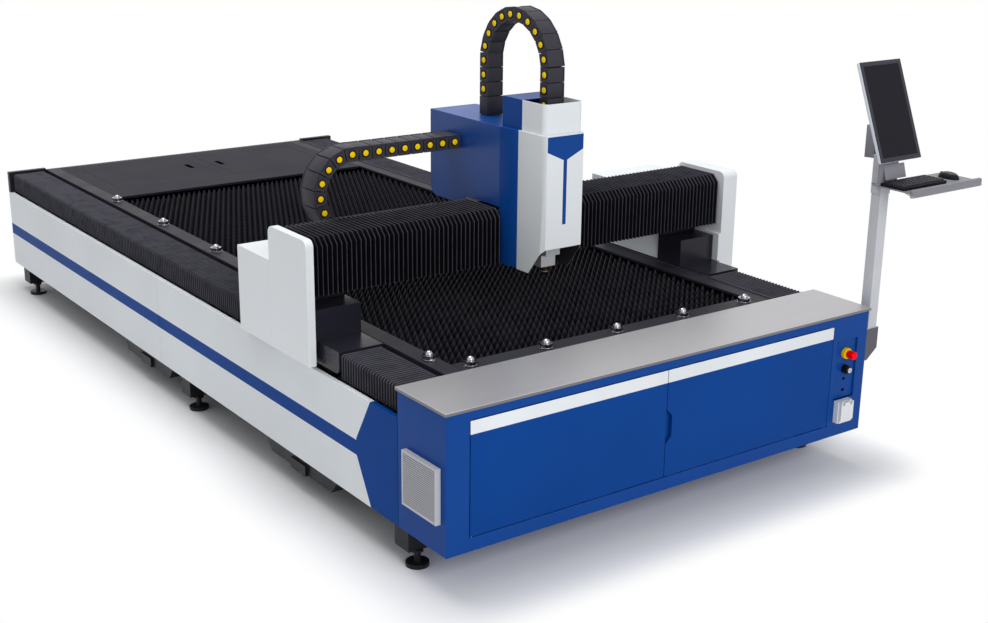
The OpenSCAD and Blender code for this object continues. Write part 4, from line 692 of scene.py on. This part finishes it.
def plate(name, outline, x0, x1):
    """A four-cornered plate drawn in Y and Z between two X values."""
    let_go()
    bpy.ops.mesh.primitive_plane_add(size=1)
    obj = bpy.context.object
    obj.name = name
    for corner, (y, z) in zip((0, 1, 3, 2), outline):
        start = obj.data.vertices[corner].co.copy()
        pick(obj, "VERT", lambda c, n: (c - start).length < 1e-6)
        bpy.ops.transform.translate(value=mm(x0, y, z) - start)
        bpy.ops.object.mode_set(mode="OBJECT")
    pick(obj, "FACE", lambda c, n: True)
    bpy.ops.mesh.extrude_region_move(TRANSFORM_OT_translate={"value": ((x1 - x0) / 1000, 0, 0)})
    bpy.ops.mesh.select_all(action="SELECT")
    bpy.ops.mesh.normals_make_consistent(inside=False)
    bpy.ops.mesh.bevel(offset=0.0012, segments=2, affect="EDGES")
    bpy.ops.object.mode_set(mode="OBJECT")
    return obj


half_w = MONITOR_SIZE.x / 2
panel_low = Vector((-half_w, 0, 0))
panel_high = Vector((half_w, MONITOR_SIZE.y, MONITOR_SIZE.z))
panel = block("monitor_panel", panel_low, panel_high, 0.0035, 3)
for finish in (plastic_silver, plastic_bezel, screen_glass):
    panel.data.materials.append(finish.material)
pick(panel, "FACE", lambda c, n: n.y < -0.3)
assign(panel, 1)
pick(panel, "FACE", lambda c, n: n.y < -0.99)
bpy.ops.mesh.inset(thickness=BEZEL)
bpy.ops.mesh.inset(thickness=0.0012)
bpy.ops.transform.translate(value=(0, 0.0015, 0))
assign(panel, 2)
bpy.ops.object.mode_set(mode="OBJECT")
panel.matrix_world = Matrix.Translation(MONITOR_FOOT) @ Matrix.Rotation(math.radians(-MONITOR_LEAN), 4, "X")
settle(panel)
ears = []
for s in (-1, 1):
    middle = CONSOLE_X + s * EAR_OFF
    ears.append(plate("monitor_ear", EAR, middle - EAR_HALF, middle + EAR_HALF))
pin_ends = [mm(CONSOLE_X + s * PIN_HALF, *TILT_PIN) for s in (-1, 1)]
ears.append(rod("tilt_pin", *pin_ends, 0.008, 0.001))
for ear in ears:
    ear.data.materials.append(paint_tray.material)
fittings = settle(joined("monitor_ears", ears))
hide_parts("monitor")
for piece in (panel, fittings):
    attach(piece, BODY_OF["monitor"])
hood = settle(plate("console_hood", HOOD, *HOOD_X))
hood.data.materials.append(paint_tray.material)
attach(hood, BODY_OF["console_arm"])
shield = settle(plate("console_shield", SHIELD, *SHIELD_X))
shield.data.materials.append(paint_tray.material)
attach(shield, BODY_OF["console_arm"])
rail = settle(block("wrist_rail", *RAIL, 0.006, 3))
rail.data.materials.append(paint_rail.material)
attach(rail, BODY_OF["console_arm"])
print("monitor:", len(panel.data.polygons), "faces")

# %% [markdown]
# ## Keyboard and mouse
# The keys could be a bump on a flat board, but from the side a bump stays flat. So one key is a real cube
# with a smaller top, and two arrays lay out the field. The mouse could be sculpted; a cube with a narrow
# top, smoothed by subdivision, gives the same rounded shell with few steps.

# %% Model the keyboard and the mouse
KEYS = (14, 5)
KEY_FIELD = (mm(2047, -71, 1145.5), mm(2291, 29, 1145.5))
KEY_HEIGHT = 0.0075
field = KEY_FIELD[1] - KEY_FIELD[0]
key_pitch = Vector((field.x / KEYS[0], field.y / KEYS[1], KEY_HEIGHT))

board = block("keyboard_base", mm(2041, -77, 1135), mm(2297, 35, 1147), 0.0025)
board.data.materials.append(plastic_black.material)
gap = Vector((0.0011, 0.0011, 0))
key = block("keyboard_keys", KEY_FIELD[0] + gap, KEY_FIELD[0] + key_pitch - gap)
pick(key, "FACE", lambda c, n: n.z > 0.9)
bpy.ops.transform.resize(value=(0.80, 0.82, 1))
pick(key, "EDGE", lambda c, d: c.z > KEY_FIELD[0].z + 0.001)
bpy.ops.mesh.bevel(offset=0.0010, segments=2, affect="EDGES")
bpy.ops.object.mode_set(mode="OBJECT")
modifier(key, "ARRAY", count=KEYS[0], use_relative_offset=False, use_constant_offset=True,
         constant_offset_displace=(key_pitch.x, 0, 0))
modifier(key, "ARRAY", count=KEYS[1], use_relative_offset=False, use_constant_offset=True,
         constant_offset_displace=(0, key_pitch.y, 0))
key.data.materials.append(plastic_keys.material)
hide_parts("keyboard")
for piece in (board, key):
    settle(piece)
    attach(piece, BODY_OF["keyboard"])

MOUSE_LOW = mm(2354, -72, 1135)
MOUSE_HIGH = mm(2416, 36, 1163)
mouse = block("mouse_shell", MOUSE_LOW, MOUSE_HIGH)
pick(mouse, "FACE", lambda c, n: n.z > 0.9)
bpy.ops.transform.resize(value=(0.72, 0.66, 1))
pick(mouse, "EDGE", lambda c, d: c.z < MOUSE_LOW.z + 0.001)
bpy.ops.mesh.bevel(offset=0.006, segments=2, affect="EDGES")
bpy.ops.object.mode_set(mode="OBJECT")
modifier(mouse, "SUBSURF", levels=3)
for finish in (plastic_black, plastic_shell):
    mouse.data.materials.append(finish.material)
pick(mouse, "FACE", lambda c, n: n.z > 0.80)
assign(mouse, 1)
bpy.ops.object.mode_set(mode="OBJECT")
wheel = rod("mouse_wheel", mm(2382, 16, 1150), mm(2388, 16, 1150), 0.007, 0.001, 24)
wheel.data.materials.append(plastic_black.material)
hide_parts("mouse")
for piece in (mouse, wheel):
    settle(piece)
    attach(piece, BODY_OF["mouse"])
print("keyboard:", KEYS[0] * KEYS[1], "keys; mouse:", len(mouse.data.polygons), "faces")

# %% [markdown]
# ## Slag hoppers
# Under the slats a folded sheet closes the bed and leads the slag to the two drawers. It starts as one flat
# plane. Cuts divide it, the fields over the drawers are inset and pushed down to funnels, their floors are
# opened, and a wall thickness makes it sheet metal.

# %% Fold the sheet under the slats
SHEET_Z = 290
SHEET_LOW = mm(168, 300, SHEET_Z)
SHEET_HIGH = mm(1832, 4262, SHEET_Z)
FUNNELS = ((742, 1312), (2211, 2781))
FUNNEL_END = 900
FUNNEL_DEPTH = 0.128
FUNNEL_SLOPE = 0.09

let_go()
bpy.ops.mesh.primitive_plane_add(size=1, location=(SHEET_LOW + SHEET_HIGH) / 2)
hopper = bpy.context.object
hopper.name = "slag_hopper"
hopper.scale = (SHEET_HIGH.x - SHEET_LOW.x, SHEET_HIGH.y - SHEET_LOW.y, 1)
bpy.ops.object.transform_apply(location=True, rotation=True, scale=True)
bpy.ops.object.mode_set(mode="EDIT")
cuts = [(mm(FUNNEL_END, 0, SHEET_Z), (1, 0, 0))]
cuts += [(mm(0, y, SHEET_Z), (0, 1, 0)) for run in FUNNELS for y in run]
for point, across in cuts:
    bpy.ops.mesh.select_all(action="SELECT")
    bpy.ops.mesh.bisect(plane_co=point, plane_no=across)
mouths = [mm(FUNNEL_END, sum(run) / 2, SHEET_Z) for run in FUNNELS]
pick(hopper, "FACE", lambda c, n: c.x < mouths[0].x and min(abs(c.y - m.y) for m in mouths) < 0.05)
bpy.ops.mesh.inset(thickness=FUNNEL_SLOPE, use_individual=True)
bpy.ops.transform.translate(value=(0, 0, -FUNNEL_DEPTH))
bpy.ops.mesh.delete(type="FACE")
bpy.ops.object.mode_set(mode="OBJECT")
modifier(hopper, "SOLIDIFY", thickness=0.003, offset=1)
settle(hopper)
hopper.data.materials.append(paint_black.material)
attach(hopper, "base")
print("slag hopper:", len(hopper.data.polygons), "faces")

# %% [markdown]
# ## Bellows
# A bellows is one fold repeated. The fold is drawn as a line along the valley, extruded out to the ridge and
#  on to the next valley; an array repeats it and a thin wall is added. When the gantry moves, one end stays
#  and the other goes along, so the run is cut into pieces; each piece's share of the travel is worked out but
#  not used.

# %% Draw one fold


def fold(valley, ridge, step):
    let_go()
    bpy.ops.mesh.primitive_plane_add(size=0.01, location=valley[0])
    obj = bpy.context.object
    bpy.ops.object.transform_apply(location=True)
    bpy.ops.object.mode_set(mode="EDIT")
    bpy.ops.mesh.select_mode(type="VERT")
    bpy.ops.mesh.select_all(action="SELECT")
    bpy.ops.mesh.merge(type="CENTER")
    for a, b in zip(valley, valley[1:]):
        bpy.ops.mesh.extrude_vertices_move(TRANSFORM_OT_translate={"value": b - a})
    for line, target in ((valley, ridge), (ridge, valley)):
        start = Vector((0, 0, 0)) if line is valley else step / 2
        near = [p + start for p in line]
        pick(obj, "VERT", lambda c, n: min((c - p).length for p in near) < 1e-5)
        bpy.ops.mesh.select_mode(type="EDGE")
        bpy.ops.mesh.extrude_edges_move(TRANSFORM_OT_translate={"value": step / 2})
        for a, b in zip(line, target):
            spot = a + start + step / 2
            pick(obj, "VERT", lambda c, n: (c - spot).length < 1e-5)
            bpy.ops.transform.translate(value=b - a)
    bpy.ops.mesh.select_all(action="SELECT")
    bpy.ops.mesh.normals_make_consistent(inside=False)
    bpy.ops.object.mode_set(mode="OBJECT")
    return obj


def share_place(share):
    """Where a smooth step from nought to one reaches this share."""
    low, high = 0.0, 1.0
    for _ in range(50):
        t = (low + high) / 2
        low, high = (t, high) if t * t * (3 - 2 * t) < share else (low, t)
    return (low + high) / 2


def bellows(name, valley, ridge, step, count, pieces, node, reverse, finish):
    """Lays the folds from valley onwards in pieces; each piece's share of the travel is worked out but not
    used.
    """
    one = fold(valley, ridge, step)
    made = []
    for k in range(pieces):
        first, last = round(k * count / pieces), round((k + 1) * count / pieces)
        run = copy_of(one, f"{name}_{k}")
        run.location = step * first
        modifier(run, "ARRAY", count=last - first, use_relative_offset=False, use_constant_offset=True,
                 constant_offset_displace=step, use_merge_vertices=True, merge_threshold=1e-5)
        bpy.ops.object.transform_apply(location=True)
        mark_ridges(run, ridge, step)
        modifier(run, "SOLIDIFY", thickness=0.0016, offset=-1)
        settle(run, 25)
        run.data.materials.append(finish.material)
        shares = (first / count, last / count)
        if reverse:
            shares = (1 - shares[0], 1 - shares[1])
        places = [share_place(s) for s in shares]
        ends = [valley[0] + step * first, valley[0] + step * last]
        reach = (ends[1] - ends[0]) / (places[1] - places[0])
        ends[0] - reach * places[0]
        ends[0] + reach * (1 - places[0])
        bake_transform(run)
        made.append(run)
    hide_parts(node)
    bpy.data.objects.remove(one)
    return made


def mark_ridges(run, ridge, step):
    """Writes at each point how far out it lies between valley and ridge."""
    way = step.normalized()
    flat = [p - way * p.dot(way) for p in ridge]
    marks = []
    for v in run.data.vertices:
        here = v.co - way * v.co.dot(way)
        marks.append(1.0 if min((here - p).length for p in flat) < 1e-4 else 0.0)
    run.data.attributes.new("ridge", "FLOAT", "POINT").data.foreach_set("value", marks)


print("fold helpers ready")

# %% [markdown]
# ## Bellows beside the bed
# These cover the rails on both sides. Each has a front and a rear run that meet at the gantry, so the front
# run closes up while the rear one opens. Their fold outline is a low arch with its corners cut.

# %% Side bellows, front and rear, left and right
BED_WIDTH = 2000
SIDE_BELLOWS = {"z": (555.0, 648.0), "left": (22.0, 195.0), "depth": 11.0}
FRONT_RUN = (299.0, 704.5, 23)
REAR_RUN = (1410.5, 4269.5, 150)


def side_outline(x0, x1, y, inset):
    z0, z1 = SIDE_BELLOWS["z"]
    top, ease = z1 - inset, 8.0
    left, right = x0 + inset, x1 - inset
    return [mm(left, y, z0), mm(left, y, top - ease), mm(left + ease, y, top), mm(right - ease, y, top),
            mm(right, y, top - ease), mm(right, y, z0)]


for side in ("left", "right"):
    x0, x1 = SIDE_BELLOWS["left"]
    if side == "right":
        x0, x1 = BED_WIDTH - x1, BED_WIDTH - x0
    for place, run, away in (("front", FRONT_RUN, False), ("rear", REAR_RUN, True)):
        node = f"y_bellows_{place}"
        y0, y1, folds = run
        step = Vector((0, (y1 - y0) / folds / 1000, 0))
        bellows(f"side_bellows_{place}_{side}", side_outline(x0, x1, y0, SIDE_BELLOWS["depth"]),
                side_outline(x0, x1, y0, 0), step, folds, 8, node, away, side_cloth)
print("side bellows ready")

# %% [markdown]
# ## Bellows on the gantry
# The same fold, deeper and upright, hides the beam on both sides of the head. The back is left open, where
# the chain tray passes.

# %% Gantry bellows, left and right of the head
GANTRY_BELLOWS = {"y": (862.0, 1108.0), "z": (818.0, 1034.0), "cut": 30.0, "lip": 40.0, "depth": 22.0}


def gantry_outline(x, inset):
    y0, y1 = GANTRY_BELLOWS["y"]
    z0, z1 = GANTRY_BELLOWS["z"]
    cut = GANTRY_BELLOWS["cut"]
    front, back, top = y0 + inset, y1 - inset, z1 - inset
    return [mm(x, front, z0), mm(x, front, top - cut), mm(x, front + cut, top), mm(x, back - 8, top),
            mm(x, back, top - 8), mm(x, back, z1 - GANTRY_BELLOWS["lip"])]


for name, x0, x1, folds, away in (("left", 0.5, 839.5, 42, False), ("right", 1065.5, 1999.5, 47, True)):
    step = Vector(((x1 - x0) / folds / 1000, 0, 0))
    bellows(f"gantry_bellows_{name}", gantry_outline(x0, GANTRY_BELLOWS["depth"]), gantry_outline(x0, 0), step,
            folds, 8, "x_bellows", away, cloth)
print("gantry bellows ready")

# %% [markdown]
# ## Drag chains
# A drag chain is a row of boxy links that hinge on round pivots, here with yellow caps. One link is a cube
# with eased edges, raised side plates and a boss at its end; copies are laid along the chain's path. When the
# head moves, the fixed end stays, the bend goes half the way, and the moving end goes all the way.

# %% Model one link
SEAT_RADIUS = 0.0165
CAP_RADIUS = 0.0115


def link(name, pitch, height, width):
    """A link along X with its width along Y, in metres, about its own middle."""
    half = Vector((pitch / 2 - 0.0013, width / 2 - 0.004, height / 2 - 0.002))
    core = block(name + "_core", -half, half, 0.003)
    parts = [core]
    for s in (-1, 1):
        y0, y1 = sorted((s * (width / 2 - 0.006), s * width / 2))
        plate = block(name + "_plate", Vector((-pitch / 2 + 0.0009, y0, -height / 2)),
                      Vector((pitch / 2 - 0.0009, y1, height / 2)), 0.0025)
        pick(plate, "FACE", lambda c, n: n.y * s > 0.9)
        bpy.ops.mesh.inset(thickness=0.006)
        bpy.ops.transform.translate(value=(0, -s * 0.0015, 0))
        bpy.ops.object.mode_set(mode="OBJECT")
        out = Vector((0, s, 0))
        face = out * width / 2
        seat = rod(name + "_seat", face - out * 0.004, face + out * 0.0008, SEAT_RADIUS, 0.001, 28)
        cap = rod(name + "_cap", face - out * 0.003, face + out * 0.002, CAP_RADIUS, 0.0012, 28)
        parts += [plate, seat, cap]
    for p in parts:
        for finish in (plastic_chain, plastic_yellow, plastic_black):
            p.data.materials.append(finish.material)
        slot = 1 if "_cap" in p.name else 2 if "_seat" in p.name else 0
        for f in p.data.polygons:
            f.material_index = slot
    return settle(joined(name, parts))


def wedge_of(one, name, radius):
    """A link for the bend, longer on its outer side and shorter on its inner side."""
    twin = copy_of(one, name)
    rim = one.dimensions.z / 2
    for side in (-1, 1):
        pick(twin, "VERT", lambda c, n: c.z * side > rim - 0.0065)
        bpy.ops.transform.resize(value=(1 - side * rim / radius, 1, 1), center_override=(0, 0, 0))
    bpy.ops.object.mode_set(mode="OBJECT")
    return twin


def chain(name, one, pitch, straight, radius, back, frame_of, node, tail=0.0):
    """Copies the link along a run, a half turn and the run back, and joins them in three pieces.

    The tail is a plain end piece at the start of the first run.
    """
    turn = math.pi * radius
    total = straight + turn + back - tail
    count = round(total / pitch)
    bent = wedge_of(one, name + "_wedge", radius)
    runs = {"fixed_run": [], "bend": [], "moving_run": []}
    if tail:
        half = Vector((tail / 2 - 0.0009, one.dimensions.y / 2 - 0.002, one.dimensions.z / 2))
        end = block(name + "_end", -half, half, 0.002)
        end.data.materials.append(plastic_chain.material)
        end.matrix_world = frame_of @ Matrix.Translation((tail / 2, 0, 0))
        runs["fixed_run"].append(settle(end))
    for k in range(count):
        s = tail + (k + 0.5) * total / count
        turned = min(max((s - straight) / radius, 0), math.pi)
        along = min(s, straight) - max(s - straight - turn, 0) + radius * math.sin(turned)
        across = radius * (1 - math.cos(turned))
        key = "fixed_run" if s < straight else "bend" if s < straight + turn else "moving_run"
        twin = copy_of(bent if key == "bend" else one, f"{name}_{k}")
        twin.matrix_world = frame_of @ Matrix.Translation((along, 0, across)) @ Matrix.Rotation(-turned, 4, "Y")
        bpy.ops.object.transform_apply(location=True, rotation=True)
        runs[key].append(twin)
    for key, twins in runs.items():
        piece = settle(joined(f"{name}_{key}", twins))
        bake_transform(piece)
    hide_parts(node)
    for pattern in (one, bent):
        bpy.data.objects.remove(pattern)
    return count


print("link helpers ready")

# %% [markdown]
# ## Two chains
# The long chain lies on the gantry and follows the head sideways. The short one stands over the head and
# follows it up and down. Both use one link and one path, turned to lie or to stand.

# %% Lay the two chains
CHAIN_PITCH = 0.0575
END_LINK = 0.075
along_gantry = Matrix.Translation(mm(799, 1200, 962)) @ Matrix.Rotation(math.pi, 4, "Z")
made = chain("gantry_chain", link("gantry_link", CHAIN_PITCH, 0.056, 0.108), CHAIN_PITCH, 0.450, 0.146, 0.4907,
             along_gantry, "chain_x")
print("gantry chain:", made, "links")

up = Matrix(((0, 1, 0, 0), (0, 0, -1, 0), (1, 0, 0, 0), (0, 0, 0, 1)))
up_head = Matrix.Translation(mm(969.5, 1124, 1353.3)) @ up
made = chain("head_chain", link("head_link", CHAIN_PITCH, 0.054, 0.076), CHAIN_PITCH, 0.2167, 0.195, 0.152,
             up_head, "chain_z", END_LINK)
print("head chain:", made, "links")

# %% [markdown]
# ## Studio
# The photograph has a white ground with a soft dark shadow under the machine. The floor is a pale plane, and
# what the camera sees beyond it is white. One broad soft lamp above and a weaker one in front do the rest.

# %% Floor, sky and lamps
FOOTPRINT_MIDDLE = (mm(0, 0, 0) + mm(2000, 4300, 0)) / 2
FOOTPRINT_HALF = (mm(2000, 4300, 0) - mm(0, 0, 0)) / 2
SHADOW_REACH = 0.3
FLOOR = (0.92, 0.92, 0.93, 1.0)
SEEN_BY = ("Is Camera Ray", "Is Glossy Ray", "Is Transmission Ray")

let_go()
bpy.ops.mesh.primitive_plane_add(size=80, location=(0, 0, 0))
floor = bpy.context.object
floor.name = "studio_floor"
ground = Finish("studio_ground", base_color=FLOOR, roughness=0.9)
x, y, z = ground.xyz()
aside = (abs(x - FOOTPRINT_MIDDLE.x) - FOOTPRINT_HALF.x).bigger(0)
beyond = (abs(y - FOOTPRINT_MIDDLE.y) - FOOTPRINT_HALF.y).bigger(0)
far_off = ground.fade(aside * aside + beyond * beyond, 0.0, SHADOW_REACH * SHADOW_REACH)
ray = ground.add("ShaderNodeLightPath").socket.node
seen = sum((Wire(ground, ray.outputs[n]) for n in SEEN_BY[1:]), Wire(ground, ray.outputs[SEEN_BY[0]]))
glow = ground.add("ShaderNodeEmission", {}, {"Color": (1, 1, 1, 1), "Strength": 1.0})
lit = Wire(ground, ground.shader.outputs[0])
blend_in = ground.add("ShaderNodeMixShader", {}, {0: far_off * seen, 1: lit, 2: glow})
output = ground.tree.nodes["Material Output"]
ground.tree.links.new(blend_in.socket, output.inputs["Surface"])
floor.data.materials.append(ground.material)

world = bpy.data.worlds.new("studio")
bpy.context.scene.world = world
world.use_nodes = True
tree = world.node_tree
light = tree.nodes["Background"]
light.inputs["Color"].default_value = (0.96, 0.98, 1.0, 1)
light.inputs["Strength"].default_value = 0.45
white = tree.nodes.new("ShaderNodeBackground")
white.inputs["Color"].default_value = (1, 1, 1, 1)
white.inputs["Strength"].default_value = 1.0
path = tree.nodes.new("ShaderNodeLightPath")
choose = tree.nodes.new("ShaderNodeMixShader")
seen_sky = path.outputs[SEEN_BY[0]]
for name in SEEN_BY[1:]:
    either = tree.nodes.new("ShaderNodeMath")
    tree.links.new(seen_sky, either.inputs[0])
    tree.links.new(path.outputs[name], either.inputs[1])
    seen_sky = either.outputs[0]
tree.links.new(seen_sky, choose.inputs[0])
tree.links.new(light.outputs[0], choose.inputs[1])
tree.links.new(white.outputs[0], choose.inputs[2])
tree.links.new(choose.outputs[0], tree.nodes["World Output"].inputs["Surface"])


def lamp(name, place, target, size, power):
    data = bpy.data.lights.new(name, "AREA")
    data.shape = "DISK"
    data.size = size
    data.energy = power
    obj = bpy.data.objects.new(name, data)
    bpy.context.scene.collection.objects.link(obj)
    aim = (target - place).to_track_quat("-Z", "Y")
    obj.matrix_world = Matrix.Translation(place) @ aim.to_matrix().to_4x4()
    return obj


lamp("key_lamp", Vector((-0.6, 0.6, 7.5)), Vector((-0.2, 0, 0)), 6.0, 360)
lamp("fill_lamp", Vector((-1.5, -8.5, 4.2)), Vector((0, -0.5, 0.6)), 4.5, 260)
bpy.context.scene.view_settings.view_transform = "Standard"
print("studio: floor, white surround, two lamps")
